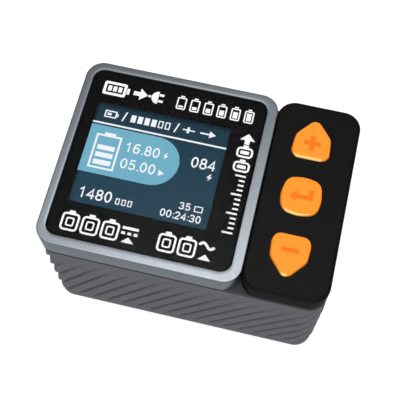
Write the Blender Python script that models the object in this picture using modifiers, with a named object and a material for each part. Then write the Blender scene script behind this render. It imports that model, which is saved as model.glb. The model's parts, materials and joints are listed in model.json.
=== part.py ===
"""Balance battery charger for model aircraft packs: a ribbed case with a display, three keys,
a mains power supply board, a charger board, a cooling fan and its power sockets.

Frame: +Z up, +X towards the keys, -Y towards the user. The origin is the centre of the footprint,
on the plane that the rubber feet stand on. All lengths are metres; MM turns millimetres into metres.
"""

import math

import bmesh
import bpy
from mathutils import Matrix, Vector

MM = 0.001

# Driving dimensions of the outside.
CASE_WIDTH = 84.5 * MM
CASE_DEPTH = 60.3 * MM
CASE_CORNER = 5.4 * MM
CASE_FILLET = 3.0 * MM
CASE_WALL = 2.0 * MM
FOOT_STEP = 0.8 * MM
TOP_Z = 53.3 * MM
TRIM_HEIGHT = 7.3 * MM
BEZEL_WIDTH = 59.25 * MM
GAP = 0.3 * MM

# Places that follow from them.
WALL_X = CASE_WIDTH / 2
WALL_Y = CASE_DEPTH / 2
INNER_X = WALL_X - CASE_WALL
INNER_Y = WALL_Y - CASE_WALL
TRIM_Z = TOP_Z - TRIM_HEIGHT
DECK_Z = TRIM_Z - GAP
DECK_UNDER = DECK_Z - CASE_WALL
BEZEL_X = -WALL_X + BEZEL_WIDTH / 2
KEYPAD_WIDTH = CASE_WIDTH - BEZEL_WIDTH - GAP
KEYPAD_X = WALL_X - KEYPAD_WIDTH / 2

# Slanted grooves in the four walls.
GROOVE_PITCH = 4.8 * MM
GROOVE_LEAN = math.radians(60)
GROOVE_DEPTH = 0.6 * MM
GROOVE_RADIUS = 1.2 * MM
GROOVE_TWIST = math.radians(10)
GROOVE_LOW = 6.5 * MM
GROOVE_HIGH = 41.0 * MM

# Base cover, feet and the posts that the case screws bite into.
BASE_LOW = FOOT_STEP + 0.3 * MM
BASE_TOP = 3.4 * MM
BASE_MARGIN = 2.55 * MM
POST_X = 36.6 * MM
POST_Y = 24.5 * MM
POST_RADIUS = 3.6 * MM
FOOT_X = 27.0 * MM
FOOT_Y = 21.0 * MM
FOOT_RADIUS = 4.0 * MM

# Display stack, from the window down.
WINDOW_SIZE = (53.5 * MM, 54.8 * MM, 1.2 * MM)
WINDOW_X = -12.8 * MM
WINDOW_Y = 0.1 * MM
WINDOW_TOP = TOP_Z - 0.5 * MM
LCD_X = -15.6 * MM
LCD_Y = 0.45 * MM
LCD_SIZE = (45.0 * MM, 38.5 * MM, 2.3 * MM)
BEZEL_SCREW_X = BEZEL_X + 24.8 * MM
BEZEL_SCREW_Y = 25.3 * MM

# Keys: the caps stand proud of the keypad and press a switch each.
KEY_X = 29.1 * MM
KEY_PITCH = 18.3 * MM
KEY_TOP = TOP_Z + 1.0 * MM
KEY_TRAVEL = 0.5 * MM
KEYPAD_SKIN = 1.6 * MM
KEY_FLANGE_TOP = TOP_Z - KEYPAD_SKIN - GAP
KEY_UNDER = KEY_FLANGE_TOP - 0.8 * MM
PLUNGER_TOP = KEY_UNDER - GAP
KEYPAD_SCREW_Y = 9.0 * MM

# Boards. Both stop short of the fan, which stands against the rear wall.
BOARD_THICKNESS = 1.6 * MM
BOARD_SIZE = (64.5 * MM, 45.5 * MM, BOARD_THICKNESS)
BOARD_Y = -4.45 * MM
PSU_BOARD_Z = 6.0 * MM
PSU_TOP = PSU_BOARD_Z + BOARD_THICKNESS
CHARGER_BOARD_Z = 25.5 * MM
CHARGER_TOP = CHARGER_BOARD_Z + BOARD_THICKNESS
CHARGER_POSTS = ((-28.5 * MM, -22.0 * MM), (28.5 * MM, 14.5 * MM))
PSU_POSTS = ((-28.5 * MM, 14.5 * MM), (29.0 * MM, -24.0 * MM))

# Fan against the rear wall.
FAN_SIDE = 30.0 * MM
FAN_DEPTH = 8.0 * MM
FAN_Y = 23.6 * MM
FAN_Z = 20.5 * MM
FAN_BORE = 14.0 * MM
FAN_HUB = 6.5 * MM
FAN_SHAFT = 0.8 * MM
BLADE_COUNT = 7

# Sockets: the mains inlet, DC input and USB port on the left, the battery output on the right.
SOCKET_FACE = WALL_X - 0.25 * MM
INLET_Y, INLET_Z = -6.0 * MM, 14.2 * MM
INLET_SIZE = (19.0 * MM, 12.6 * MM, 18.0 * MM)
INLET_PIN_PITCH = 8.6 * MM
DC_Y, DC_Z = 10.0 * MM, CHARGER_TOP + GAP + 4.1 * MM
OUTPUT_Y, OUTPUT_Z = -9.6 * MM, DC_Z
POWER_SIZE = (16.0 * MM, 8.2 * MM)
POWER_CHAMFER = 2.4 * MM
POWER_PIN_PITCH = 7.2 * MM
POWER_PIN_RADIUS = 1.75 * MM
BALANCE_Y, BALANCE_Z = 10.2 * MM, CHARGER_TOP + GAP + 3.0 * MM
BALANCE_SIZE = (19.9 * MM, 6.0 * MM, 9.2 * MM)
BALANCE_PITCH = 2.5 * MM
BALANCE_PINS = 7
USB_Y, USB_Z = -9.0 * MM, CHARGER_TOP + GAP + 1.65 * MM
USB_SIZE = (8.94 * MM, 3.26 * MM, 7.4 * MM)

# Which world axes a shape's own X, Y and Z turn to when it is made along X, Y or Z.
ALONG = {
    "X": Matrix(((0, 0, 1), (1, 0, 0), (0, 1, 0))).to_4x4(),
    "Y": Matrix(((0, 1, 0), (0, 0, 1), (1, 0, 0))).to_4x4(),
    "Z": Matrix.Identity(4),
}
CORNERS = ((-1, -1), (1, -1), (-1, 1), (1, 1))
CORNER_NAMES = ("front_left", "front_right", "rear_left", "rear_right")


# ---------------------------------------------------------------- scene and materials
def clear_scene():
    for found in list(bpy.data.objects):
        bpy.data.objects.remove(found)


def new_collection(name):
    made = bpy.data.collections.new(name)
    bpy.context.scene.collection.children.link(made)
    return made


def material(name, colour, roughness, metallic=0.0):
    made = bpy.data.materials.new(name)
    made.use_nodes = True
    shader = made.node_tree.nodes["Principled BSDF"]
    shader.inputs["Base Color"].default_value = (*colour, 1.0)
    shader.inputs["Roughness"].default_value = roughness
    shader.inputs["Metallic"].default_value = metallic
    return made


clear_scene()
PARTS = new_collection("balance_charger")
HELPERS = new_collection("helpers")
ASSEMBLY = bpy.data.objects.new("balance_charger_origin", None)
PARTS.objects.link(ASSEMBLY)

CASE_GREY = material("case_grey", (0.125, 0.123, 0.133), 0.55)
BEZEL_GREY = material("bezel_grey", (0.32, 0.34, 0.37), 0.38)
PANEL_BLACK = material("panel_black", (0.012, 0.012, 0.012), 0.45)
WINDOW_BLACK = material("window_black", (0.008, 0.008, 0.009), 0.08)
KEY_ORANGE = material("key_orange", (1.0, 0.35, 0.035), 0.35)
RUBBER = material("rubber_black", (0.015, 0.015, 0.015), 0.85)
STEEL = material("screw_steel", (0.35, 0.35, 0.36), 0.3, 1.0)
GOLD = material("contact_gold", (0.9, 0.62, 0.2), 0.25, 1.0)
TIN = material("tinned_metal", (0.6, 0.6, 0.58), 0.3, 1.0)
BOARD_GREEN = material("board_green", (0.01, 0.09, 0.045), 0.4)
YELLOW = material("connector_yellow", (0.85, 0.45, 0.02), 0.45)
WHITE = material("connector_white", (0.75, 0.74, 0.68), 0.5)
BLACK = material("component_black", (0.02, 0.02, 0.022), 0.5)
FERRITE = material("ferrite", (0.05, 0.05, 0.055), 0.6)
TAPE = material("winding_tape", (0.75, 0.42, 0.03), 0.4)
ALUMINIUM = material("heatsink_aluminium", (0.75, 0.76, 0.78), 0.35, 1.0)
SHEET = material("insulation_sheet", (0.8, 0.78, 0.7), 0.6)


# ---------------------------------------------------------------- shapes
def arc(centre, radius, start, end, segments):
    """Points along an arc, both ends included; angles are degrees."""
    turns = [math.radians(start + (end - start) * i / segments) for i in range(segments + 1)]
    return [(centre[0] + radius * math.cos(t), centre[1] + radius * math.sin(t)) for t in turns]


def rounded_outline(points, radii, grow=0.0, segments=3):
    """A convex outline, counter-clockwise, pushed out by grow, with every corner turned to an arc."""
    count = len(points)
    corners = [Vector(p) for p in points]
    outline = []
    for i in range(count):
        radius = radii[i] + grow
        before, here, after = corners[i - 1], corners[i], corners[(i + 1) % count]
        come, go = (here - before).normalized(), (after - here).normalized()
        out_come, out_go = Vector((come.y, -come.x)), Vector((go.y, -go.x))
        bend = out_come + out_go
        half = bend.length / 2
        here = here + bend.normalized() * (grow - radius) / half
        start = math.degrees(math.atan2(out_come.y, out_come.x))
        end = math.degrees(math.atan2(out_go.y, out_go.x))
        end += 360 if end < start else 0
        outline += arc(here, radius, start, end, segments)
    return outline


def stadium(width, height, segments=8):
    """A slot outline: a rectangle whose two short sides are half circles."""
    radius, straight = height / 2, width / 2 - height / 2
    return arc((straight, 0), radius, -90, 90, segments) + arc((-straight, 0), radius, 90, 270, segments)


def power_outline(grow=0.0):
    """The keyed outline of a two-pole power connector: a rectangle with two corners cut off."""
    half_w, half_h = POWER_SIZE[0] / 2 + grow, POWER_SIZE[1] / 2 + grow
    cut = POWER_CHAMFER
    return [
        (-half_w, -half_h),
        (half_w - cut, -half_h),
        (half_w, -half_h + cut),
        (half_w, half_h - cut),
        (half_w - cut, half_h),
        (-half_w, half_h),
    ]


def mesh_of_curve(curve):
    """The mesh that a curve makes; the curve is removed."""
    guide = bpy.data.objects.new("guide", curve)
    HELPERS.objects.link(guide)
    graph = bpy.context.evaluated_depsgraph_get()
    mesh = bpy.data.meshes.new_from_object(guide.evaluated_get(graph))
    bpy.data.objects.remove(guide)
    bpy.data.curves.remove(curve)
    return mesh


def outline_mesh(outline, height):
    """A flat outline made solid: a filled 2D curve with an extrusion; its caps are still loose."""
    curve = bpy.data.curves.new("outline", "CURVE")
    curve.dimensions = "2D"
    curve.fill_mode = "BOTH"
    curve.extrude = height / 2
    spline = curve.splines.new("POLY")
    spline.points.add(len(outline) - 1)
    for point, (x, y) in zip(spline.points, outline):
        point.co = (x, y, 0, 1)
    spline.use_cyclic_u = True
    return mesh_of_curve(curve)


class Shape:
    """Closed primitives gathered in one mesh. A primitive's own Z can turn to the world's X, Y or Z."""

    def __init__(self):
        self.bm = bmesh.new()

    def _place(self, verts, at, along, turn=Matrix.Identity(4)):
        bmesh.ops.transform(self.bm, matrix=Matrix.Translation(at) @ turn @ ALONG[along], verts=verts)

    def block(
        self, size, at, along="Z", corner=0.0, top=0.0, bottom=0.0, segments=5, turn=Matrix.Identity(4)
    ):
        """A box centred on at. corner rounds the edges along its own Z, top and bottom its end edges."""
        made = bmesh.new()
        bmesh.ops.create_cube(made, size=1.0, matrix=Matrix.Diagonal((*size, 1.0)))
        half = size[2] / 2
        if corner:
            upright = [e for e in made.edges if abs(e.verts[0].co.z - e.verts[1].co.z) > half]
            bmesh.ops.bevel(
                made, geom=upright, offset=corner, segments=segments, profile=0.5, affect="EDGES"
            )
        for level, radius in ((half, top), (-half, bottom)):
            if radius:
                rim = [e for e in made.edges if all(abs(v.co.z - level) < 1e-7 for v in e.verts)]
                steps = 3 if radius > MM else 2
                bmesh.ops.bevel(
                    made, geom=rim, offset=radius, segments=steps, profile=0.5, affect="EDGES"
                )
        self._take(made, at, along, turn)
        return self

    def rod(self, radius, low, high, at=(0, 0), along="Z", segments=20):
        """A cylinder or cone from low to high along its axis; at is its place across the axis."""
        made = bmesh.new()
        bmesh.ops.create_cone(
            made,
            cap_ends=True,
            segments=segments,
            radius1=radius,
            radius2=radius,
            depth=high - low,
        )
        bmesh.ops.translate(made, vec=(at[0], at[1], (low + high) / 2), verts=made.verts)
        self._take(made, (0, 0, 0), along)
        return self

    def prism(self, outline, low, high, at=(0, 0), along="Z", top=0.0):
        """An outline made solid from low to high along its axis; top rounds the edge of its high end."""
        mesh = outline_mesh(outline, high - low)
        made = bmesh.new()
        made.from_mesh(mesh)
        bpy.data.meshes.remove(mesh)
        bmesh.ops.remove_doubles(made, verts=made.verts, dist=1e-7)
        if top:
            bmesh.ops.dissolve_limit(made, angle_limit=0.01, verts=made.verts, edges=made.edges)
            level = (high - low) / 2
            rim = [e for e in made.edges if all(abs(v.co.z - level) < 1e-7 for v in e.verts)]
            bmesh.ops.bevel(made, geom=rim, offset=top, segments=2, profile=0.5, affect="EDGES")
        bmesh.ops.translate(made, vec=(at[0], at[1], (low + high) / 2), verts=made.verts)
        self._take(made, (0, 0, 0), along)
        return self

    def three_sided_bar(self, radius, length, at, turn):
        """A bar with a triangular section, its length along its own Z, centred on at."""
        made = bmesh.new()
        bmesh.ops.create_cone(
            made, cap_ends=True, segments=3, radius1=radius, radius2=radius, depth=length
        )
        self._take(made, at, "Z", turn)
        return self

    def _take(self, made, at, along, turn=Matrix.Identity(4)):
        piece = bpy.data.meshes.new("piece")
        made.to_mesh(piece)
        made.free()
        known = set(self.bm.verts)
        self.bm.from_mesh(piece)
        bpy.data.meshes.remove(piece)
        self._place([v for v in self.bm.verts if v not in known], at, along, turn)

    def mesh(self, name):
        bmesh.ops.recalc_face_normals(self.bm, faces=self.bm.faces)
        made = bpy.data.meshes.new(name)
        self.bm.to_mesh(made)
        self.bm.free()
        return made


def centred(mesh):
    """Moves a mesh so that the middle of its box is its origin, and returns where the middle was."""
    low = Vector([min(v.co[i] for v in mesh.vertices) for i in range(3)])
    high = Vector([max(v.co[i] for v in mesh.vertices) for i in range(3)])
    middle = (low + high) / 2
    mesh.transform(Matrix.Translation(-middle))
    return middle


def add_part(name, shape, finish):
    """Makes a shape a part: its own object, placed by its location and parented to the assembly."""
    mesh = shape.mesh(name)
    location = centred(mesh)
    part = bpy.data.objects.new(name, mesh)
    part.location = location
    return finish_part(part, finish)


def finish_part(part, finish):
    part.data.materials.append(finish)
    part.parent = ASSEMBLY
    PARTS.objects.link(part)
    part.data.shade_smooth()
    part.data.set_sharp_from_angle(angle=math.radians(30))
    return part


def combine(part, shape, operation, name):
    """Cuts a shape from a part, or joins it on, with an exact Boolean."""
    helper = bpy.data.objects.new(f"{part.name}_{name}", shape.mesh(name))
    helper.hide_render = True
    helper.display_type = "WIRE"
    helper.parent = ASSEMBLY
    HELPERS.objects.link(helper)
    modifier = part.modifiers.new(name, "BOOLEAN")
    modifier.operation = operation
    modifier.solver = "EXACT"
    modifier.object = helper
    return part


def cut(part, shape, name="cut"):
    return combine(part, shape, "DIFFERENCE", name)


def join(part, shape, name="join"):
    return combine(part, shape, "UNION", name)


def turned(name, profile, at, finish, steps=20, along="Z"):
    """A turned part: a profile of (radius, height) from the top of its axis down its outer side."""
    mesh = bpy.data.meshes.new(name)
    mesh.from_pydata([(r, 0, h) for r, h in profile], [(i, i + 1) for i in range(len(profile) - 1)], [])
    part = bpy.data.objects.new(name, mesh)
    spin = part.modifiers.new("turn", "SCREW")
    spin.steps = steps
    spin.render_steps = steps
    spin.use_merge_vertices = True
    spin.merge_threshold = 0.05 * MM
    part.matrix_world = Matrix.Translation(at) @ ALONG[along]
    mesh.materials.append(finish)
    part.parent = ASSEMBLY
    PARTS.objects.link(part)
    return part


# ---------------------------------------------------------------- case, base and feet
def vent_slots(radius, width):
    """Slots through the rear wall, in line with its grooves, that fill a circle round the fan's axis."""
    slots = Shape()
    pitch = GROOVE_PITCH * math.sin(GROOVE_LEAN) / 2
    turn = Matrix.Rotation(GROOVE_LEAN, 4, "Y")
    count = int(radius / pitch)
    for i in range(-count, count + 1):
        across = i * pitch
        length = 2 * math.sqrt(radius**2 - across**2)
        middle = turn @ Vector((0, 0, across)) + Vector((0, WALL_Y, FAN_Z))
        slots.block((length, 6 * MM, width), middle, turn=turn)
    return slots


def wall_grooves():
    """Slanted bars that cut the grooves in all four walls, each bar kept to the flat of its wall."""
    grooves = Shape()
    slope = math.tan(GROOVE_LEAN)
    run = (GROOVE_HIGH - GROOVE_LOW) / slope
    lean = Matrix.Rotation(math.pi / 2 - GROOVE_LEAN, 4, "Y") @ Matrix.Rotation(GROOVE_TWIST, 4, "Z")
    walls = ((WALL_X, WALL_Y, 0), (WALL_Y, WALL_X, 90), (WALL_X, WALL_Y, 180), (WALL_Y, WALL_X, 270))
    for half_width, distance, quarter in walls:
        flat = half_width - CASE_CORNER
        turn = Matrix.Rotation(math.radians(quarter), 4, "Z")
        count = int((2 * flat + run) / GROOVE_PITCH)
        first = -run / 2 - (count - 1) * GROOVE_PITCH / 2
        for i in range(count):
            foot = first + i * GROOVE_PITCH
            near, far = max(foot, -flat), min(foot + run, flat)
            middle = (near + far) / 2
            height = GROOVE_LOW + (middle - foot) * slope
            depth = -distance - GROOVE_RADIUS / 2 + GROOVE_DEPTH
            length = (far - near) / math.cos(GROOVE_LEAN)
            if length > GROOVE_PITCH:
                grooves.three_sided_bar(
                    GROOVE_RADIUS, length, turn @ Vector((middle, depth, height)), turn @ lean
                )
    return grooves


def make_case():
    height = DECK_Z - FOOT_STEP
    outer = Shape().block(
        (CASE_WIDTH, CASE_DEPTH, height),
        (0, 0, FOOT_STEP + height / 2),
        corner=CASE_CORNER,
        top=0.5 * MM,
        bottom=CASE_FILLET,
        segments=6,
    )
    case = add_part("main_case", outer, CASE_GREY)
    cut(case, wall_grooves(), "grooves")
    hollow_height = DECK_UNDER - BASE_TOP
    hollow = Shape().block(
        (2 * INNER_X, 2 * INNER_Y, hollow_height),
        (0, 0, BASE_TOP + hollow_height / 2),
        corner=CASE_CORNER - CASE_WALL,
        segments=4,
    )
    cut(case, hollow, "hollow")
    mouth = Shape().block(
        (CASE_WIDTH - 2 * BASE_MARGIN, CASE_DEPTH - 2 * BASE_MARGIN, 5 * MM),
        (0, 0, BASE_TOP - 2 * MM),
        corner=CASE_CORNER - BASE_MARGIN,
        segments=4,
    )
    cut(case, mouth, "mouth")

    posts = Shape()
    for sx, sy in CORNERS:
        posts.rod(POST_RADIUS, BASE_TOP + GAP, DECK_Z - MM, (sx * POST_X, sy * POST_Y), segments=16)
    for x, y in CHARGER_POSTS:
        posts.rod(2.5 * MM, CHARGER_TOP + GAP, DECK_Z - MM, (x, y), segments=12)
    join(case, posts, "posts")

    holes = Shape()
    for sx, sy in CORNERS:
        holes.rod(1.4 * MM, BASE_TOP, 13.0 * MM, (sx * POST_X, sy * POST_Y), segments=8)
    for x, y in CHARGER_POSTS:
        holes.rod(1.3 * MM, CHARGER_TOP, 34.0 * MM, (x, y), segments=8)
    for sy in (-1, 1):
        holes.rod(1.3 * MM, DECK_UNDER - MM, DECK_Z + MM, (BEZEL_SCREW_X, sy * BEZEL_SCREW_Y), segments=8)
        holes.rod(1.1 * MM, DECK_UNDER - MM, DECK_Z + MM, (KEY_X, sy * KEYPAD_SCREW_Y), segments=8)
    holes.block((24 * MM, 16 * MM, 4 * MM), (BEZEL_X, 2 * MM, DECK_Z - MM), corner=2 * MM, segments=3)
    holes.block((8 * MM, 3 * MM, 4 * MM), (KEY_X, 0, DECK_Z - MM))
    cut(case, holes, "holes")

    sockets = Shape()
    reach = 6 * MM
    left = (-WALL_X - MM, -WALL_X - MM + reach)
    right = (WALL_X + MM - reach, WALL_X + MM)
    sockets.block(
        (INLET_SIZE[0] + 2 * GAP, INLET_SIZE[1] + 2 * GAP, reach),
        (-WALL_X, INLET_Y, INLET_Z),
        along="X",
        corner=1.2 * MM,
        segments=3,
    )
    sockets.prism(power_outline(GAP), *left, (DC_Y, DC_Z), along="X")
    sockets.prism(stadium(USB_SIZE[0] + 2 * GAP, USB_SIZE[1] + 2 * GAP), *left, (USB_Y, USB_Z), along="X")
    sockets.prism(power_outline(0.6 * MM), *right, (OUTPUT_Y, OUTPUT_Z), along="X")
    sockets.block(
        (BALANCE_SIZE[0] + 2 * GAP, BALANCE_SIZE[1] + 2 * GAP, reach),
        (WALL_X, BALANCE_Y, BALANCE_Z),
        along="X",
    )
    cut(case, sockets, "sockets")

    cut(case, vent_slots(12.5 * MM, 1.1 * MM), "grille")
    return case


def make_base_cover():
    thickness = BASE_TOP - BASE_LOW
    middle = BASE_LOW + thickness / 2
    inset = 2 * (BASE_MARGIN + GAP)
    plate = Shape().block(
        (CASE_WIDTH - inset, CASE_DEPTH - inset, thickness),
        (0, 0, middle),
        corner=CASE_CORNER - BASE_MARGIN - GAP,
        segments=3,
    )
    base = add_part("base_cover", plate, CASE_GREY)
    standoffs = Shape()
    for x, y in PSU_POSTS:
        standoffs.rod(2.5 * MM, middle, PSU_BOARD_Z - GAP, (x, y), segments=12)
    join(base, standoffs, "standoffs")

    holes = Shape()
    for sx, sy in CORNERS:
        holes.rod(1.4 * MM, 0, BASE_TOP + MM, (sx * POST_X, sy * POST_Y), segments=8)
    for x, y in PSU_POSTS:
        holes.rod(1.1 * MM, 1.8 * MM, PSU_BOARD_Z, (x, y), segments=8)
    for i in range(-3, 4):
        holes.block((2.0 * MM, 22 * MM, 6 * MM), (i * 4.4 * MM, 0, middle), corner=0.9 * MM, segments=2)
    cut(base, holes, "holes")

    pockets = Shape()
    for sx, sy in CORNERS:
        pockets.rod(2.1 * MM, 0, 2.2 * MM, (sx * POST_X, sy * POST_Y), segments=12)
        pockets.rod(FOOT_RADIUS + GAP, 0, 2.1 * MM, (sx * FOOT_X, sy * FOOT_Y), segments=16)
    cut(base, pockets, "pockets")
    return base


def make_feet():
    for (sx, sy), corner in zip(CORNERS, CORNER_NAMES):
        profile = [(0, 1.8), (4.0, 1.8), (4.0, 0.4), (3.6, 0), (0, 0)]
        turned(
            f"foot_{corner}",
            [(r * MM, h * MM) for r, h in profile],
            (sx * FOOT_X, sy * FOOT_Y, 0),
            RUBBER,
            steps=16,
        )


def make_screw(name, at, head, shank, length, up=True):
    """A pan head screw with a hexagon recess. at is the underside of its head; up points the shank up."""
    head_radius, head_height = head
    profile = [
        (0, -head_height),
        (head_radius * 0.75, -head_height),
        (head_radius, -head_height * 0.5),
        (head_radius, 0),
        (shank, 0),
        (shank, length),
        (0, length),
    ]
    turn = 1 if up else -1
    profile = [(r, turn * h) for r, h in profile]
    if up:
        profile.reverse()
    screw = turned(name, profile, at, STEEL, steps=12)
    low, high = sorted((at[2] - turn * head_height * 1.5, at[2] - turn * head_height * 0.4))
    return cut(screw, Shape().rod(head_radius * 0.45, low, high, at[:2], segments=6), "recess")


def make_screws():
    for (sx, sy), corner in zip(CORNERS, CORNER_NAMES):
        make_screw(
            f"case_screw_{corner}",
            (sx * POST_X, sy * POST_Y, 1.9 * MM),
            (1.8 * MM, 0.8 * MM),
            1.1 * MM,
            10.0 * MM,
        )
    for sy, side in ((-1, "front"), (1, "rear")):
        make_screw(
            f"bezel_screw_{side}",
            (BEZEL_SCREW_X, sy * BEZEL_SCREW_Y, DECK_UNDER - GAP),
            (1.9 * MM, 1.1 * MM),
            0.9 * MM,
            5.8 * MM,
        )
        make_screw(
            f"keypad_screw_{side}",
            (KEY_X, sy * KEYPAD_SCREW_Y, DECK_UNDER - GAP),
            (1.7 * MM, 1.0 * MM),
            0.75 * MM,
            6.5 * MM,
        )
    for (x, y), side in zip(CHARGER_POSTS, ("left", "right")):
        make_screw(
            f"charger_board_screw_{side}",
            (x, y, CHARGER_BOARD_Z - GAP),
            (1.9 * MM, 1.1 * MM),
            0.9 * MM,
            7.0 * MM,
        )
    for (x, y), side in zip(PSU_POSTS, ("left", "right")):
        make_screw(
            f"psu_board_screw_{side}",
            (x, y, PSU_TOP + GAP),
            (1.8 * MM, 1.1 * MM),
            0.75 * MM,
            5.5 * MM,
            up=False,
        )


# ---------------------------------------------------------------- display
def make_display():
    height = TOP_Z - TRIM_Z
    frame = Shape().block(
        (BEZEL_WIDTH, CASE_DEPTH, height),
        (BEZEL_X, 0, TRIM_Z + height / 2),
        corner=5.3 * MM,
        top=0.45 * MM,
        segments=6,
    )
    bezel = add_part("display_bezel", frame, BEZEL_GREY)
    shelf_top = WINDOW_TOP - WINDOW_SIZE[2] - GAP
    shelf_under = shelf_top - 1.0 * MM
    recess = Shape().block(
        (WINDOW_SIZE[0] + 2 * 0.25 * MM, WINDOW_SIZE[1] + 2 * 0.25 * MM, 4 * MM),
        (WINDOW_X, WINDOW_Y, shelf_top + 2 * MM),
        corner=3.5 * MM,
        segments=5,
    )
    cut(bezel, recess, "recess")
    cavity = Shape().block(
        (BEZEL_WIDTH - 2 * CASE_WALL, CASE_DEPTH - 2 * CASE_WALL, 6 * MM),
        (BEZEL_X, 0, shelf_under - 3 * MM),
        corner=3.5 * MM,
        segments=4,
    )
    cut(bezel, cavity, "cavity")
    opening = Shape().block(
        (LCD_SIZE[0] + 0.8 * MM, LCD_SIZE[1] + 0.8 * MM, 6 * MM), (LCD_X, LCD_Y, shelf_under)
    )
    cut(bezel, opening, "opening")
    bosses, bores = Shape(), Shape()
    for sy in (-1, 1):
        place = (BEZEL_SCREW_X, sy * BEZEL_SCREW_Y)
        bosses.rod(3.2 * MM, TRIM_Z, shelf_top - 0.4 * MM, place, segments=12)
        bores.rod(1.2 * MM, TRIM_Z - MM, shelf_under, place, segments=8)
    join(bezel, bosses, "bosses")
    cut(bezel, bores, "bores")

    window = Shape().block(
        WINDOW_SIZE,
        (WINDOW_X, WINDOW_Y, WINDOW_TOP - WINDOW_SIZE[2] / 2),
        corner=3.25 * MM,
        top=0.15 * MM,
        segments=5,
    )
    add_part("display_window", window, WINDOW_BLACK)

    module_top = shelf_top
    module = add_part(
        "display_module",
        Shape().block(LCD_SIZE, (LCD_X, LCD_Y, module_top - LCD_SIZE[2] / 2), corner=0.8 * MM, segments=2),
        TIN,
    )
    cell = Shape().block((42.4 * MM, 35.4 * MM, 0.6 * MM), (LCD_X, LCD_Y, module_top))
    cut(module, cell, "cell")

    board_z = DECK_Z + 0.6 * MM
    add_part(
        "display_board",
        Shape().block(
            (41 * MM, 53 * MM, 1.2 * MM), (BEZEL_X, 0, board_z + 0.6 * MM), corner=1.5 * MM, segments=2
        ),
        BOARD_GREEN,
    )


def make_display_cable():
    """The flat cable from the display board through the deck, down to the charger board."""
    top, bottom = DECK_Z / MM + 0.2, CHARGER_TOP / MM + 0.6
    path = [(-2.5, top), (0.5, top - 0.1), (2.2, top - 1.1), (2.6, top - 3.2)]
    path += [(2.6, bottom + 3.3), (3.2, bottom + 0.9), (5.0, bottom + 0.1), (8.5, bottom)]
    ribbon = bpy.data.curves.new("display_cable_path", "CURVE")
    ribbon.dimensions = "2D"
    ribbon.fill_mode = "NONE"
    ribbon.extrude = 5.0 * MM
    spline = ribbon.splines.new("POLY")
    spline.points.add(len(path) - 1)
    for point, (y, z) in zip(spline.points, path):
        point.co = (y * MM, z * MM, 0, 1)
    cable = bpy.data.objects.new("display_cable", mesh_of_curve(ribbon))
    cable.matrix_world = Matrix.Translation((BEZEL_X - 6.0 * MM, 0, 0)) @ ALONG["X"]
    thick = cable.modifiers.new("thickness", "SOLIDIFY")
    thick.thickness = 0.25 * MM
    thick.offset = 0
    return finish_part(cable, SHEET)


# ---------------------------------------------------------------- keys
def arrow_key_outline(up):
    """A house shape with its corner radii: a flat base, near upright sides and a soft point."""
    half_base, half_shoulder = 5.67 * MM, 5.17 * MM
    base, shoulder, point = -6.03 * MM, 1.13 * MM, 7.23 * MM
    foot_radius, shoulder_radius, point_radius = 2.44 * MM, 3.3 * MM, 2.07 * MM
    corners = [(-half_base, base), (half_base, base), (half_shoulder, shoulder), (0, point)]
    corners += [(-half_shoulder, shoulder)]
    radii = [foot_radius, foot_radius, shoulder_radius, point_radius, shoulder_radius]
    return (corners if up else [(-x, -y) for x, y in corners]), radii


def enter_key_outline():
    """A square whose four sides bow out a little, with its corner radii."""
    half_w, half_d, bow_w, bow_d = 4.99 * MM, 5.04 * MM, 5.92 * MM, 5.99 * MM
    corners = [
        (-half_w, -half_d), (0, -bow_d), (half_w, -half_d), (bow_w, 0),
        (half_w, half_d), (0, bow_d), (-half_w, half_d), (-bow_w, 0),
    ]
    corner_radius, side_radius = 3.17 * MM, 10.0 * MM
    return corners, [corner_radius, side_radius] * 4


KEYS = {
    "up": (KEY_PITCH, *arrow_key_outline(True)),
    "enter": (0.0, *enter_key_outline()),
    "down": (-KEY_PITCH, *arrow_key_outline(False)),
}


def make_keypad():
    height = TOP_Z - TRIM_Z
    shell = Shape().block(
        (KEYPAD_WIDTH, CASE_DEPTH, height),
        (KEYPAD_X, 0, TRIM_Z + height / 2),
        corner=5.4 * MM,
        top=0.8 * MM,
        segments=6,
    )
    cover = add_part("keypad_cover", shell, PANEL_BLACK)
    wall = 1.8 * MM
    skin_under = TOP_Z - KEYPAD_SKIN
    cavity = Shape().block(
        (KEYPAD_WIDTH - 2 * wall, CASE_DEPTH - 2 * wall, 7 * MM),
        (KEYPAD_X, 0, skin_under - 3.5 * MM),
        corner=3.9 * MM,
        segments=4,
    )
    cut(cover, cavity, "cavity")
    bosses, bores = Shape(), Shape()
    for sy in (-1, 1):
        bosses.rod(1.9 * MM, TRIM_Z, skin_under + 0.5 * MM, (KEY_X, sy * KEYPAD_SCREW_Y), segments=12)
        bores.rod(1.05 * MM, TRIM_Z - MM, skin_under - 0.6 * MM, (KEY_X, sy * KEYPAD_SCREW_Y), segments=8)
    join(cover, bosses, "bosses")
    cut(cover, bores, "bores")
    openings = Shape()
    for place, corners, radii in KEYS.values():
        hole = rounded_outline(corners, radii, grow=0.25 * MM)
        openings.prism(hole, skin_under - MM, TOP_Z + MM, (KEY_X, place))
    cut(cover, openings, "openings")

    board_z = DECK_Z + 0.4 * MM
    board = add_part(
        "key_board",
        Shape().block(
            (20.4 * MM, 55.4 * MM, 1.2 * MM), (KEYPAD_X, 0, board_z + 0.6 * MM), corner=3.2 * MM, segments=2
        ),
        BOARD_GREEN,
    )
    clear = Shape()
    for sy in (-1, 1):
        clear.rod(2.4 * MM, DECK_Z, board_z + 3 * MM, (KEY_X, sy * KEYPAD_SCREW_Y), segments=12)
    cut(board, clear, "boss_holes")
    return cover


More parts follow.
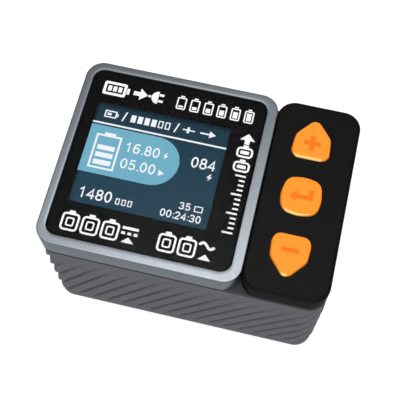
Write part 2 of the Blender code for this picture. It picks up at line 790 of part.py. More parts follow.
def make_key(name, place, corners, radii):
    """A key cap with a flange under the keypad's skin, and the switch and plunger below it."""
    flange = Shape().prism(
        rounded_outline(corners, radii, grow=0.8 * MM), KEY_UNDER, KEY_FLANGE_TOP, (KEY_X, place)
    )
    key = add_part(f"{name}_button", flange, KEY_ORANGE)
    cap = Shape().prism(
        rounded_outline(corners, radii), KEY_UNDER + 0.3 * MM, KEY_TOP, (KEY_X, place), top=0.5 * MM
    )
    join(key, cap, "cap")

    body_low, body_high = DECK_Z + 1.9 * MM, DECK_Z + 3.7 * MM
    switch = add_part(
        f"{name}_switch",
        Shape().block((6 * MM, 6 * MM, body_high - body_low), (KEY_X, place, (body_low + body_high) / 2)),
        BLACK,
    )
    well = Shape().rod(1.7 * MM, body_low + 0.3 * MM, body_high + MM, (KEY_X, place), segments=12)
    cut(switch, well, "well")
    plunger_low = body_low + 0.5 * MM + KEY_TRAVEL
    profile = [(0, PLUNGER_TOP), (1.1 * MM, PLUNGER_TOP), (1.3 * MM, PLUNGER_TOP - 0.2 * MM)]
    profile += [(1.3 * MM, plunger_low), (0, plunger_low)]
    turned(
        f"{name}_plunger",
        [(r, h - plunger_low) for r, h in profile],
        (KEY_X, place, plunger_low),
        WHITE,
        steps=12,
    )


# ---------------------------------------------------------------- boards and what they carry
def make_board(name, low, posts):
    board = add_part(
        name,
        Shape().block(BOARD_SIZE, (0, BOARD_Y, low + BOARD_THICKNESS / 2), corner=1.5 * MM, segments=2),
        BOARD_GREEN,
    )
    holes = Shape()
    for place in posts:
        holes.rod(1.3 * MM, low - MM, low + 3 * MM, place, segments=12)
    return cut(board, holes, "screw_holes")


def make_transformer():
    centre = Vector((18 * MM, -13 * MM))
    low = PSU_TOP + GAP
    width, depth, height = 24 * MM, 12 * MM, 15.5 * MM
    leg, plate = 7 * MM, 2.5 * MM
    side = 3 * MM
    middle = low + height / 2
    core = add_part(
        "transformer_core", Shape().block((width, depth, height), (*centre, middle)), FERRITE
    )
    window = (width - leg - 2 * side) / 2
    windows = Shape()
    for sx in (-1, 1):
        offset = sx * (leg / 2 + window / 2)
        windows.block((window, depth + 4 * MM, height - 2 * plate), (centre.x + offset, centre.y, middle))
    cut(core, windows, "windows")
    bobbin_height = height - 2 * plate - 2 * GAP
    bobbin = add_part(
        "transformer_bobbin",
        Shape().block(
            (leg + 2 * window - 2 * GAP, depth + 10 * MM, bobbin_height),
            (*centre, middle),
            corner=3 * MM,
            segments=3,
        ),
        TAPE,
    )
    hole = Shape().block((leg + 2 * GAP, depth + 2 * GAP, bobbin_height + 4 * MM), (*centre, middle))
    cut(bobbin, hole, "core_hole")


def make_supply_parts():
    radius = 7.5 * MM
    start, length = 3.0 * MM, 25.0 * MM
    profile = [(0, length), (radius - 1.5 * MM, length), (radius, length - 0.8 * MM), (radius, 3.2 * MM)]
    profile += [(radius - 0.6 * MM, 2.6 * MM), (radius, 2.0 * MM), (radius, 0.5 * MM)]
    profile += [(radius - 0.5 * MM, 0), (0, 0)]
    turned(
        "bulk_capacitor",
        profile,
        (start, 9.0 * MM, PSU_TOP + GAP + radius),
        BLACK,
        steps=24,
        along="X",
    )
    ring_radius, wire_radius = 5.8 * MM, 3.0 * MM
    bpy.ops.mesh.primitive_torus_add(
        major_radius=ring_radius,
        minor_radius=wire_radius,
        major_segments=20,
        minor_segments=8,
        location=(-11 * MM, -15.5 * MM, PSU_TOP + GAP + wire_radius),
    )
    choke = bpy.context.object
    choke.name = "mains_choke"
    for group in list(choke.users_collection):
        group.objects.unlink(choke)
    finish_part(choke, TAPE)
    add_part(
        "insulation_sheet", Shape().block((50 * MM, 44 * MM, 0.5 * MM), (0, BOARD_Y, 24.5 * MM)), SHEET
    )


def make_charger_parts():
    low = CHARGER_TOP + GAP
    for name, x in (("left", -3.0 * MM), ("right", 12.0 * MM)):
        add_part(
            f"power_inductor_{name}",
            Shape().block(
                (12 * MM, 12 * MM, 6.5 * MM), (x, -18.5 * MM, low + 3.25 * MM), corner=1.5 * MM, segments=2
            ),
            FERRITE,
        )
    sounder = (-17 * MM, -21 * MM)
    buzzer = add_part("buzzer", Shape().rod(4.2 * MM, low, low + 5 * MM, sounder, segments=16), BLACK)
    cut(buzzer, Shape().rod(1.2 * MM, low + 2 * MM, low + 6 * MM, sounder, segments=8), "sound_hole")
    base_height, fin_height, fin_count = 2.0 * MM, 9.5 * MM, 7
    width, depth, x, y = 26 * MM, 18 * MM, 6 * MM, 3 * MM
    sink = add_part(
        "charger_heatsink",
        Shape().block((width, depth, base_height), (x, y, low + base_height / 2)),
        ALUMINIUM,
    )
    fins = Shape()
    pitch = (width - 1.2 * MM) / (fin_count - 1)
    for i in range(fin_count):
        fin_x = x + (i - (fin_count - 1) / 2) * pitch
        fins.block((1.2 * MM, depth, fin_height), (fin_x, y, low + base_height / 2 + fin_height / 2))
    join(sink, fins, "fins")


# ---------------------------------------------------------------- fan
def make_fan():
    rear = FAN_Y + FAN_DEPTH / 2
    front = FAN_Y - FAN_DEPTH / 2
    axis = (FAN_Z, 0)
    frame = add_part(
        "fan_frame",
        Shape().block(
            (FAN_SIDE, FAN_SIDE, FAN_DEPTH), (0, FAN_Y, FAN_Z), along="Y", corner=2.5 * MM, segments=3
        ),
        BLACK,
    )
    cut(frame, Shape().rod(FAN_BORE, front - MM, rear + MM, axis, along="Y", segments=32), "bore")
    struts = Shape()
    for i in range(4):
        turn = Matrix.Rotation(math.radians(45 + 90 * i), 4, "Y")
        arm = Vector((FAN_HUB + 4.0 * MM, 0, 0))
        struts.block(
            (9.5 * MM, 1.4 * MM, 1.4 * MM), Vector((0, rear - 0.9 * MM, FAN_Z)) + turn @ arm, turn=turn
        )
    hub = Shape().rod(FAN_HUB, rear - 2.0 * MM, rear - 0.1 * MM, axis, along="Y", segments=24)
    join(frame, struts, "struts")
    join(frame, hub, "hub")
    bearing = Shape().rod(FAN_SHAFT + 0.1 * MM, rear - 4 * MM, rear + MM, axis, along="Y", segments=12)
    cut(frame, bearing, "bearing")

    rotor_rear = rear - 2.0 * MM - GAP
    rotor_front = front + 0.4 * MM
    rotor = add_part(
        "fan_rotor", Shape().rod(FAN_HUB, rotor_front, rotor_rear, axis, along="Y", segments=24), BLACK
    )
    blades = Shape()
    blade_length = FAN_BORE - FAN_HUB - 0.6 * MM + 0.8 * MM
    mid_y = (rotor_front + rotor_rear) / 2
    pitch_turn = Matrix.Rotation(math.radians(38), 4, "X")
    for i in range(BLADE_COUNT):
        turn = Matrix.Rotation(2 * math.pi * i / BLADE_COUNT, 4, "Y")
        arm = Vector((FAN_HUB - 0.8 * MM + blade_length / 2, 0, 0))
        blades.block(
            (blade_length, 0.8 * MM, 6.0 * MM), Vector((0, mid_y, FAN_Z)) + turn @ arm, turn=turn @ pitch_turn
        )
    join(rotor, blades, "blades")
    join(rotor, Shape().rod(FAN_SHAFT, mid_y, rear - 0.3 * MM, axis, along="Y", segments=12), "shaft")


# ---------------------------------------------------------------- sockets
def pin(name, radius, low, high, at, finish, bore=0.0, segments=16):
    """A round contact along X; a bore makes it a sleeve, open at both ends."""
    made = add_part(name, Shape().rod(radius, low, high, at, along="X", segments=segments), finish)
    if bore:
        cut(made, Shape().rod(bore, low - MM, high + MM, at, along="X", segments=segments), "bore")
    return made


def make_mains_inlet():
    face, back = -SOCKET_FACE, -SOCKET_FACE + INLET_SIZE[2]
    inlet = add_part(
        "ac_inlet",
        Shape().block(
            INLET_SIZE, ((face + back) / 2, INLET_Y, INLET_Z), along="X", corner=1.0 * MM, segments=2
        ),
        BLACK,
    )
    cavity = Shape().prism(
        stadium(15.0 * MM, 8.8 * MM), face - MM, face + 12.5 * MM, (INLET_Y, INLET_Z), along="X"
    )
    cut(inlet, cavity, "cavity")
    holes = Shape()
    for side, sy in (("front", -1), ("rear", 1)):
        place = (INLET_Y + sy * INLET_PIN_PITCH / 2, INLET_Z)
        holes.rod(1.5 * MM, face + 10 * MM, back + MM, place, along="X", segments=12)
        pin(f"ac_pin_{side}", 1.2 * MM, face + 3 * MM, back + 1.5 * MM, place, TIN)
    cut(inlet, holes, "pin_holes")


def make_dc_input():
    face, back = -SOCKET_FACE, -SOCKET_FACE + 16 * MM
    socket = add_part(
        "dc_input_socket",
        Shape().prism(power_outline(), face, back, (DC_Y, DC_Z), along="X"),
        YELLOW,
    )
    cavity = Shape().prism(power_outline(-1.1 * MM), face - MM, face + 9 * MM, (DC_Y, DC_Z), along="X")
    cut(socket, cavity, "cavity")
    holes = Shape()
    for side, sy in (("pos", -1), ("neg", 1)):
        place = (DC_Y + sy * POWER_PIN_PITCH / 2, DC_Z)
        holes.rod(POWER_PIN_RADIUS + GAP, face + 8 * MM, back + MM, place, along="X", segments=16)
        pin(f"dc_pin_{side}", POWER_PIN_RADIUS, face + 1.2 * MM, back + 2 * MM, place, GOLD, segments=20)
    cut(socket, holes, "pin_holes")


def make_output():
    face, back = SOCKET_FACE, SOCKET_FACE - 16 * MM
    shoulder = face - 9.5 * MM
    socket = add_part(
        "output_socket",
        Shape().prism(power_outline(), back, shoulder, (OUTPUT_Y, OUTPUT_Z), along="X"),
        YELLOW,
    )
    nose = Shape().prism(power_outline(-1.2 * MM), shoulder - MM, face, (OUTPUT_Y, OUTPUT_Z), along="X")
    join(socket, nose, "nose")
    holes = Shape()
    for side, sy in (("pos", -1), ("neg", 1)):
        place = (OUTPUT_Y + sy * (POWER_PIN_PITCH / 2 - 0.4 * MM), OUTPUT_Z)
        holes.rod(2.55 * MM, back - MM, face + MM, place, along="X", segments=20)
        pin(
            f"output_sleeve_{side}", 2.3 * MM, back - 1.5 * MM, face - 0.6 * MM, place, GOLD,
            bore=POWER_PIN_RADIUS, segments=20,
        )
    cut(socket, holes, "sleeve_holes")


def make_balance_socket():
    width, height, depth = BALANCE_SIZE
    face, back = SOCKET_FACE, SOCKET_FACE - depth
    socket = add_part(
        "balance_socket",
        Shape().block(BALANCE_SIZE, ((face + back) / 2, BALANCE_Y, BALANCE_Z), along="X"),
        WHITE,
    )
    wall = 1.0 * MM
    floor = back + 1.6 * MM
    cavity = Shape().block(
        (width - 2 * wall, height - 2 * wall, face + MM - floor),
        ((face + MM + floor) / 2, BALANCE_Y, BALANCE_Z),
        along="X",
    )
    cut(socket, cavity, "cavity")
    keyways = Shape()
    for sy in (-1, 1):
        keyways.block(
            (1.6 * MM, 4 * MM, 8 * MM),
            (face - 1.5 * MM, BALANCE_Y + sy * 6.4 * MM, BALANCE_Z + height / 2),
            along="X",
        )
    cut(socket, keyways, "keyways")
    carrier_width, carrier_height = 16.8 * MM, 1.3 * MM
    slot = Shape().block(
        (carrier_width + 2 * GAP, carrier_height + 2 * GAP, 6 * MM),
        (back + MM, BALANCE_Y, BALANCE_Z),
        along="X",
    )
    cut(socket, slot, "carrier_slot")
    header = add_part(
        "balance_pin_header",
        Shape().block(
            (carrier_width, carrier_height, 2.2 * MM), (back + 0.6 * MM, BALANCE_Y, BALANCE_Z), along="X"
        ),
        TIN,
    )
    pins = Shape()
    for i in range(BALANCE_PINS):
        offset = (i - (BALANCE_PINS - 1) / 2) * BALANCE_PITCH
        low, high = back - 1.2 * MM, face - 1.2 * MM
        middle = ((low + high) / 2, BALANCE_Y + offset, BALANCE_Z)
        pins.block((0.64 * MM, 0.64 * MM, high - low), middle, along="X")
    join(header, pins, "pins")


def make_usb_port():
    width, height, depth = USB_SIZE
    face = -SOCKET_FACE
    port = add_part(
        "usb_c_port",
        Shape().prism(stadium(width, height), face, face + depth, (USB_Y, USB_Z), along="X"),
        TIN,
    )
    skin = 0.32 * MM
    cavity = Shape().prism(
        stadium(width - 2 * skin, height - 2 * skin), face - MM, face + depth - MM, (USB_Y, USB_Z), along="X"
    )
    cut(port, cavity, "cavity")
    tongue = Shape().block(
        (6.7 * MM, 0.7 * MM, depth - 1.2 * MM),
        (face + (depth + 1.2 * MM) / 2 - 0.4 * MM, USB_Y, USB_Z),
        along="X",
    )
    join(port, tongue, "tongue")


make_case()
make_base_cover()
make_feet()
make_screws()
make_display()
make_display_cable()
make_keypad()
for key_name, (key_place, key_corners, key_radius) in KEYS.items():
    make_key(key_name, key_place, key_corners, key_radius)
make_board("psu_board", PSU_BOARD_Z, PSU_POSTS)
make_board("charger_board", CHARGER_BOARD_Z, CHARGER_POSTS)
make_transformer()
make_supply_parts()
make_charger_parts()
make_fan()
make_mains_inlet()
make_dc_input()
make_output()
make_balance_socket()
make_usb_port()
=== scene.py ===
"""Looks of the balance battery charger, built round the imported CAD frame.

The CAD nodes hold every place and size. The outer shells, the keys, the window and the display
are rebuilt here as fine meshes, and the rest of the CAD nodes get their finish. Lengths are metres
unless a comment says millimetres.
"""

import json
import math

import bmesh
import bpy
import numpy as np
from mathutils import Matrix, Vector


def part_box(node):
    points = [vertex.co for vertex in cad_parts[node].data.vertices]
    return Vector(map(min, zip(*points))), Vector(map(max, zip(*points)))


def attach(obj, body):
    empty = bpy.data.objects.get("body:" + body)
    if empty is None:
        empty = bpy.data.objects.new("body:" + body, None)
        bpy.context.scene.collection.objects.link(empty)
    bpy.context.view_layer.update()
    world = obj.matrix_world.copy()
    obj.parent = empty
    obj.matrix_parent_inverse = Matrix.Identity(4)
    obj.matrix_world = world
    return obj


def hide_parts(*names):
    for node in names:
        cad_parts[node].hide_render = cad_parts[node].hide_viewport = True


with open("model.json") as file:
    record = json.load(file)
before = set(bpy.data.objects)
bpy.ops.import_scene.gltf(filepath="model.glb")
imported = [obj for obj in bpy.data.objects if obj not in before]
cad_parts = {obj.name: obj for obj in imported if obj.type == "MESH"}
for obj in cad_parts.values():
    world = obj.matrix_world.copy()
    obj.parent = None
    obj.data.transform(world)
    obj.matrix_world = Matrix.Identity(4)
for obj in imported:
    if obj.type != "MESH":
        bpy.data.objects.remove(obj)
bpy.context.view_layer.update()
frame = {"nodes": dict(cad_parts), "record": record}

MM = 0.001
WELD = 1e-7

# Corners of the boxes of the CAD nodes that the fine pieces follow.
CASE_LOW, CASE_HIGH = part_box("main_case")
BEZEL_LOW, BEZEL_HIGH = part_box("display_bezel")
KEYPAD_LOW, KEYPAD_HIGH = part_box("keypad_cover")
WINDOW_LOW, WINDOW_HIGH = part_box("display_window")
MODULE_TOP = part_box("display_module")[1].z
TOP_Z = BEZEL_HIGH.z
DECK_Z = CASE_HIGH.z

# Case: corners seen from above, fillet of the lower edge, wall, and the rim round the base cover.
CASE_CORNER = 5.4 * MM
CASE_FILLET = 3.0 * MM
CASE_WALL = 2.0 * MM
BASE_RIM = 2.55 * MM
BASE_TOP = 3.4 * MM
WALL_ROWS = 50
# The parting line: a step into the wall between two depths under the deck, with a sloped edge.
PARTING_LOW = 0.95 * MM
PARTING_HIGH = 0.4 * MM
PARTING_STEP = 0.22 * MM
PARTING_EDGE = 0.04 * MM
DECK_EDGE = 0.06 * MM
DECK_RIM = 0.8 * MM

# The front and rear walls and the right corners carry V grooves, the side walls and the left
# corners full ridges. Half, phase and crest are shares of the pitch.
GROOVE_COUNT = 58
GROOVE_LEAN = math.radians(59.0)
GROOVE_DEPTH = 0.7 * MM
GROOVE_HALF = 0.175
GROOVE_PHASE = 0.295
GROOVE_FADE_TOP = (DECK_Z - 0.8 * MM, DECK_Z - 19.0 * MM)
GROOVE_FADE_BOTTOM = (4.6 * MM, 9.0 * MM)
RIDGE_RISE = 0.4 * MM
RIDGE_SINK = 0.5 * MM
RIDGE_CREST = 0.72
RIDGE_FADE_TOP = (DECK_Z - 1.2 * MM, DECK_Z - 7.0 * MM)
# Where grooves give way to ridges: the share of the wall's normal that points along X.
LEFT_TURN = (0.1, 0.65)
RIGHT_TURN = (0.8, 1.0)

# Openings in the case: the fan's slots, the gap round each socket, and how far from a socket the
# ridges start again.
VENT_RADIUS = 12.5 * MM
VENT_SLOT = 1.1 * MM
VENT_PITCH = 4.8 * MM * math.sin(GROOVE_LEAN) / 2
VENT_REACH = 4 * MM
SOCKET_GAP = 0.3 * MM
SOCKET_DEPTH = 5 * MM
SOCKET_CLEAR = (0.8 * MM, 3.5 * MM)

# Display frame: its right side reaches almost to the keypad, and the gap round the window is
# narrower at the front.
BEZEL_CORNER = 5.3 * MM
BEZEL_EDGE = 0.2 * MM
BEZEL_FOOT = 0.06 * MM
BEZEL_GAP = 0.28 * MM
BEZEL_GAP_FRONT = 0.1 * MM
BEZEL_TO_KEYPAD = 0.03 * MM
RECESS_CORNER = 3.5 * MM
LEDGE = 2 * MM
# The inner lip: how far out from the recess, and how far down, in millimetres.
BEZEL_LIP = ((1.0, 0.0), (0.82, 0.0), (0.62, 0.006), (0.36, 0.020), (0.06, 0.038), (0.0, 0.15))

# Window: the clear pane, and the opening in the black sheet under it.
PANE = 0.3 * MM
PANE_CORNER = 3.25 * MM
CLEARANCE = 0.01 * MM
VIEW_LOW = (-36.2 * MM, -15.97 * MM)
VIEW_HIGH = (4.75 * MM, 17.64 * MM)

# Keypad cover and keys.
KEYPAD_CORNER = 5.4 * MM
KEYPAD_EDGE = 0.85 * MM
KEYPAD_FOOT = 0.15 * MM
KEYPAD_WALL = 1.8 * MM
KEYPAD_SKIN = 1.6 * MM
KEY_GAP = 0.22 * MM
KEY_FLANGE = 0.8 * MM
KEY_EDGE = 0.6 * MM
CROWN_INSET = 0.85 * MM
CROWN_RISE = 0.02 * MM
MARK_HEIGHT = 0.04 * MM

# The lit area of the display. Its picture is drawn in units, 40.8 of them across.
LCD_LEFT = -36.45 * MM
LCD_FRONT = -15.65 * MM
LCD_WIDTH = 41.1 * MM
LCD_DEPTH = 33.75 * MM
LCD_UNITS = 40.8
LCD_EDGE = 0.25 * MM
LCD_LAYER = 0.015 * MM
LCD_STEP = 0.005 * MM

# Studio.
EVEN_LIGHT = 0.72
SHOWN_WHITE = 1.05
FLOOR_GLOW = 0.76
FLOOR_REACH = 3.0
FILL_PLACE = (0.15, -0.7, 0.30)
FILL_TARGET = (0, 0, 0.03)
FILL_SIZE = (0.5, 0.3)
FILL_POWER = 1.0
CAMERA_PLACE = (23.52 * MM, -100.1 * MM, TOP_Z + 225.1 * MM)
CAMERA_AZIMUTH = math.radians(13.62)
CAMERA_ELEVATION = math.radians(67.10)
CAMERA_ROLL = math.radians(-0.30)
CAMERA_LENS = 76.93


# ---------------------------------------------------------------- node materials
def set_inputs(tree, node, inputs):
    """Gives each input its value, or a link from an output; colours are given as three numbers."""
    for key, given in inputs.items():
        socket = node.inputs[key]
        if isinstance(given, bpy.types.NodeSocket):
            tree.links.new(given, socket)
        elif socket.type == "RGBA":
            socket.default_value = (*given, 1.0)
        else:
            socket.default_value = given


def add_node(tree, kind, inputs=None, **settings):
    node = tree.nodes.new("ShaderNode" + kind)
    for key, value in settings.items():
        setattr(node, key, value)
    set_inputs(tree, node, inputs or {})
    return node


def new_material(name):
    made = bpy.data.materials.new(name)
    made.use_nodes = True
    tree = made.node_tree
    return made, tree, tree.nodes["Principled BSDF"]


def surface_data(tree, kind):
    """The surface's own Normal or Backfacing."""
    return add_node(tree, "NewGeometry").outputs[kind]


def along_axis(tree, vector, axis):
    return add_node(tree, "SeparateXYZ", {"Vector": vector}).outputs[axis]


def object_place(tree):
    return add_node(tree, "TexCoord").outputs["Object"]


def product(tree, first, second):
    return add_node(tree, "Math", {0: first, 1: second}, operation="MULTIPLY").outputs[0]


def dot(tree, first, second):
    made = add_node(tree, "VectorMath", {0: first, 1: second}, operation="DOT_PRODUCT")
    return made.outputs["Value"]


def noise(tree, scale, detail=3.0, stretch=(1, 1, 1)):
    """Noise in the object's own metres; stretch squeezes it along an axis."""
    where = add_node(tree, "Mapping", {"Vector": object_place(tree), "Scale": stretch})
    inputs = {"Vector": where.outputs[0], "Scale": scale, "Detail": detail, "Roughness": 0.6}
    return add_node(tree, "TexNoise", inputs).outputs["Fac"]


def map_range(tree, value, start, full, low=0.0, high=1.0, kind="LINEAR"):
    """A value between start and full mapped on low to high, and held there beyond them."""
    inputs = {"Value": value, "From Min": start, "From Max": full, "To Min": low, "To Max": high}
    return add_node(tree, "MapRange", inputs, interpolation_type=kind).outputs["Result"]


def spread(tree, value, low, high):
    """The middle of a 0 to 1 value mapped on low to high."""
    return map_range(tree, value, 0.3, 0.7, low, high)


def mix_colour(tree, factor, first, second, blend="MIX"):
    inputs = {0: factor, 6: first, 7: second}
    return add_node(tree, "Mix", inputs, data_type="RGBA", blend_type=blend).outputs[2]


def shaded(tree, colour, shade):
    return mix_colour(tree, 1.0, colour, shade, "MULTIPLY")


def mix_shader(tree, factor, first, second):
    return add_node(tree, "MixShader", {0: factor, 1: first, 2: second}).outputs["Shader"]


def edge_mask(tree, radius):
    """Near 1 where the surface turns within the radius, 0 on flat stretches."""
    bevelled = add_node(tree, "Bevel", {"Radius": radius}, samples=4).outputs["Normal"]
    return map_range(tree, dot(tree, bevelled, surface_data(tree, "Normal")), 0.995, 0.85)


def set_bump(tree, shader, height, strength, distance):
    inputs = {"Height": height, "Strength": strength, "Distance": distance}
    set_inputs(tree, shader, {"Normal": add_node(tree, "Bump", inputs).outputs["Normal"]})


def plastic(
    name, colour, roughness, grain=0.0, grain_scale=6000.0, edge_wear_and_highlight=0.0, specular=0.3,
    mottle=0.05, crease_shade=0.0, glow=0.0, side_specular=None,
):
    """Moulded plastic: faintly mottled, finely grained, edges lighter, creases darker.

    The lighter edges are partly worn and partly painted highlight, the darker creases painted
    shade. Grain is the height of the bump, the crease reach how far that painted shade reaches,
    the glow the strength of painted light in the plastic's own colour, and side_specular the
    level on upright faces.
    """
    made, tree, shader = new_material(name)
    mottled = shaded(tree, colour, spread(tree, noise(tree, 180.0), 1.0 - mottle, 1.0 + mottle))
    # Lighter edges: partly wear and partly painted highlight.
    if edge_wear_and_highlight:
        lighter = tuple(min(1.0, c * 1.5 + 0.03) for c in colour)
        worn_and_highlighted = product(tree, edge_mask(tree, 0.35 * MM), edge_wear_and_highlight)
        mottled = mix_colour(tree, worn_and_highlighted, mottled, lighter)
    # Painted shade: the colour darkens where the surface's own creases and grooves are occluded.
    if crease_shade:
        inputs = {"Distance": crease_shade}
        crease = add_node(tree, "AmbientOcclusion", inputs, samples=8, only_local=True)
        mottled = shaded(tree, mottled, map_range(tree, crease.outputs["AO"], 0.35, 0.9, 0.12))
    level = specular
    if side_specular is not None:
        upward = along_axis(tree, surface_data(tree, "Normal"), "Z")
        level = spread(tree, upward, side_specular, specular)
    # The emission in the plastic's own colour is painted light: the plastic is no lamp.
    inputs = {
        "Base Color": mottled,
        "Roughness": spread(tree, noise(tree, 900.0), roughness - 0.04, roughness + 0.06),
        "Specular IOR Level": level,
        "Emission Color": colour,
        "Emission Strength": glow,
    }
    set_inputs(tree, shader, inputs)
    if grain:
        set_bump(tree, shader, noise(tree, grain_scale, 2.0), 0.5, grain)
    return made


def key_plastic():
    """Glossy orange: a painted glow, and a painted pale highlight on front-facing moulded edges.
    """
    colour, pale = (1.0, 0.315, 0.027), (1.9, 1.72, 0.64)
    painted_glint_facing = (-0.188, -0.886, 0.423)
    made = plastic(
        "key_orange", colour, 0.34, 0.004 * MM, 5000.0, specular=0.15, mottle=0.012, glow=0.3
    )
    tree = made.node_tree
    # Painted highlight: paler extra emission where an edge faces the front and a little up.
    facing = dot(tree, surface_data(tree, "Normal"), painted_glint_facing)
    painted_glint = map_range(tree, facing, 0.815, 0.94, kind="SMOOTHSTEP")
    shader = tree.nodes["Principled BSDF"]
    set_inputs(tree, shader, {"Emission Color": mix_colour(tree, painted_glint, colour, pale)})
    return made


def satin_paint(name, colour, roughness, metallic):
    """Satin silver-grey paint: mostly metal, faintly mottled, with a very fine flake."""
    made, tree, shader = new_material(name)
    mottled = shaded(tree, colour, spread(tree, noise(tree, 150.0), 0.985, 1.015))
    inputs = {
        "Base Color": shaded(tree, mottled, spread(tree, noise(tree, 9000.0, 1.0), 0.97, 1.03)),
        "Metallic": metallic,
        "Roughness": spread(tree, noise(tree, 700.0), roughness - 0.02, roughness + 0.03),
    }
    set_inputs(tree, shader, inputs)
    set_bump(tree, shader, noise(tree, 7000.0, 2.0), 0.3, 0.004 * MM)
    return made


def metal(name, colour, roughness, scratch):
    """Metal with fine marks; scratch squeezes them along an axis."""
    made, tree, shader = new_material(name)
    marks = noise(tree, 2500.0, 4.0, scratch)
    inputs = {
        "Base Color": shaded(tree, colour, spread(tree, noise(tree, 400.0), 0.85, 1.05)),
        "Metallic": 1.0,
        "Roughness": spread(tree, marks, roughness - 0.06, roughness + 0.1),
    }
    set_inputs(tree, shader, inputs)
    set_bump(tree, shader, marks, 0.3, 0.02 * MM)
    return made


def circuit_board(name):
    """Green solder resist over a net of copper tracks."""
    made, tree, shader = new_material(name)
    inputs = {"Vector": object_place(tree), "Scale": 260.0}
    cells = add_node(tree, "TexVoronoi", inputs, distance="CHEBYCHEV", feature="F1")
    track = map_range(tree, cells.outputs["Distance"], 0.42, 0.46)
    colour = mix_colour(tree, track, (0.006, 0.07, 0.032), (0.012, 0.12, 0.05))
    set_inputs(tree, shader, {"Base Color": colour, "Roughness": 0.35})
    set_bump(tree, shader, track, 0.4, 0.04 * MM)
    return made


def screen_material(name):
    """Part of the picture on the display: black to the light; its own glow is still to be set."""
    made, tree, shader = new_material(name)
    black = (0.004, 0.004, 0.004)
    inputs = {"Base Color": black, "Specular IOR Level": 0.0, "Emission Strength": 1.0}
    set_inputs(tree, shader, inputs)
    return made, tree, shader


def lit(name, colour):
    """One colour of the picture, with the faint unevenness of its pixels."""
    made, tree, shader = screen_material(name)
    pixels = spread(tree, noise(tree, 4000.0, 1.0), 0.97, 1.03)
    set_inputs(tree, shader, {"Emission Color": shaded(tree, colour, pixels)})
    return made


def lcd_background():
    """The dark blue field: brighter to the front, painted recess shadow at rear and left edges."""
    made, tree, shader = screen_material("lcd_background")
    rear, left = LCD_FRONT + LCD_DEPTH, LCD_LEFT
    shade = (0.0155, 0.0535, 0.085)
    # The first two ramps are painted shadow of the recess edge; the third darkens the field to the
    # rear.
    for axis, dark, bright, low in (
        ("Y", rear, rear - 2.2 * MM, 0.25),
        ("X", left, left + 1.3 * MM, 0.3),
        ("Y", rear + 20 * MM, LCD_FRONT, 0.62),
    ):
        along = along_axis(tree, object_place(tree), axis)
        edge_shadow_and_gradient = map_range(tree, along, dark, bright, low, kind="SMOOTHSTEP")
        shade = shaded(tree, shade, edge_shadow_and_gradient)
    set_inputs(tree, shader, {"Emission Color": shade})
    return made


def window_glass():
    """Clear dark glass: it lets the print and the display through and adds a soft reflection."""
    made, tree, shader = new_material("window_glass")
    tree.nodes.remove(shader)
    clear = add_node(tree, "BsdfTransparent", {"Color": (0.97, 0.97, 0.98)})
    soft = spread(tree, noise(tree, 60.0), 0.24, 0.30)
    gloss = add_node(tree, "BsdfGlossy", {"Color": (1, 1, 1), "Roughness": soft})
    facing = add_node(tree, "Fresnel", {"IOR": 1.2}).outputs["Fac"]
    inputs = {0: 1.0, 1: surface_data(tree, "Backfacing")}
    outer = add_node(tree, "Math", inputs, operation="SUBTRACT").outputs[0]
    mixed = mix_shader(tree, product(tree, facing, outer), clear.outputs[0], gloss.outputs[0])
    set_inputs(tree, tree.nodes["Material Output"], {"Surface": mixed})
    return made


# Case: its lighter edges are partly wear and partly painted highlight, its darker grooves painted
# shade.
CASE_GREY = plastic(
    "case_grey", (0.1030, 0.1005, 0.1105), 0.55, 0.03 * MM, 5200.0,
    edge_wear_and_highlight=0.2, specular=0.12, crease_shade=1.1 * MM,
)
BEZEL_GREY = satin_paint("bezel_grey", (0.228, 0.250, 0.279), 0.30, 0.92)
# Panel: its lighter edges are partly wear and partly painted highlight.
PANEL_BLACK = plastic(
    "panel_black", (0.0060, 0.0058, 0.0058), 0.42, 0.01 * MM,
    edge_wear_and_highlight=0.03, specular=0.09, side_specular=0.02,
)
MASK_BLACK = plastic("mask_black", (0.0050, 0.0050, 0.0055), 0.6, specular=0.0)
KEY_ORANGE = key_plastic()
# The key marks glow a little: painted light.
KEY_SYMBOL = plastic(
    "key_symbol", (1.0, 0.185, 0.013), 0.4, 0.004 * MM, 5000.0,
    specular=0.1, mottle=0.03, glow=0.3,
)
# The window print glows a little: painted light.
PRINT_WHITE = plastic(
    "print_white", (0.93, 0.93, 0.93), 0.45, 0.003 * MM, 9000.0, specular=0.1, glow=0.35
)
FOOT_RUBBER = plastic(
    "foot_rubber", (0.016, 0.016, 0.017), 0.8, 0.05 * MM, 3500.0, specular=0.2, mottle=0.15
)
# These parts' lighter edges are partly wear and partly painted highlight.
BLACK_PART = plastic("black_part", (0.018, 0.018, 0.020), 0.45, 0.02 * MM, 4000.0, edge_wear_and_highlight=0.15)
YELLOW_PART = plastic("connector_yellow", (0.80, 0.42, 0.02), 0.42, 0.01 * MM, 4000.0, edge_wear_and_highlight=0.3)
WHITE_PART = plastic("connector_white", (0.74, 0.72, 0.64), 0.45, 0.01 * MM, 4000.0, edge_wear_and_highlight=0.2)
FERRITE = plastic("ferrite", (0.045, 0.045, 0.05), 0.6, 0.05 * MM, 3000.0, edge_wear_and_highlight=0.3, mottle=0.2)
TAPE = plastic("winding_tape", (0.72, 0.40, 0.03), 0.3, 0.03 * MM, 1500.0, mottle=0.12)
FILM = plastic("insulation_film", (0.74, 0.70, 0.60), 0.5, 0.01 * MM, 2500.0, mottle=0.06)
STEEL = metal("screw_steel", (0.42, 0.42, 0.43), 0.3, (1, 1, 6))
GOLD = metal("contact_gold", (0.90, 0.62, 0.20), 0.22, (6, 1, 1))
TIN = metal("tinned_metal", (0.62, 0.62, 0.60), 0.3, (1, 1, 1))
ALUMINIUM = metal("heatsink_aluminium", (0.78, 0.79, 0.80), 0.35, (1, 8, 1))
BOARD = circuit_board("circuit_board")
GLASS = window_glass()
LCD_FIELD = lcd_background()
LCD_BLUE = lit("lcd_blue", (0.168, 0.455, 0.590))
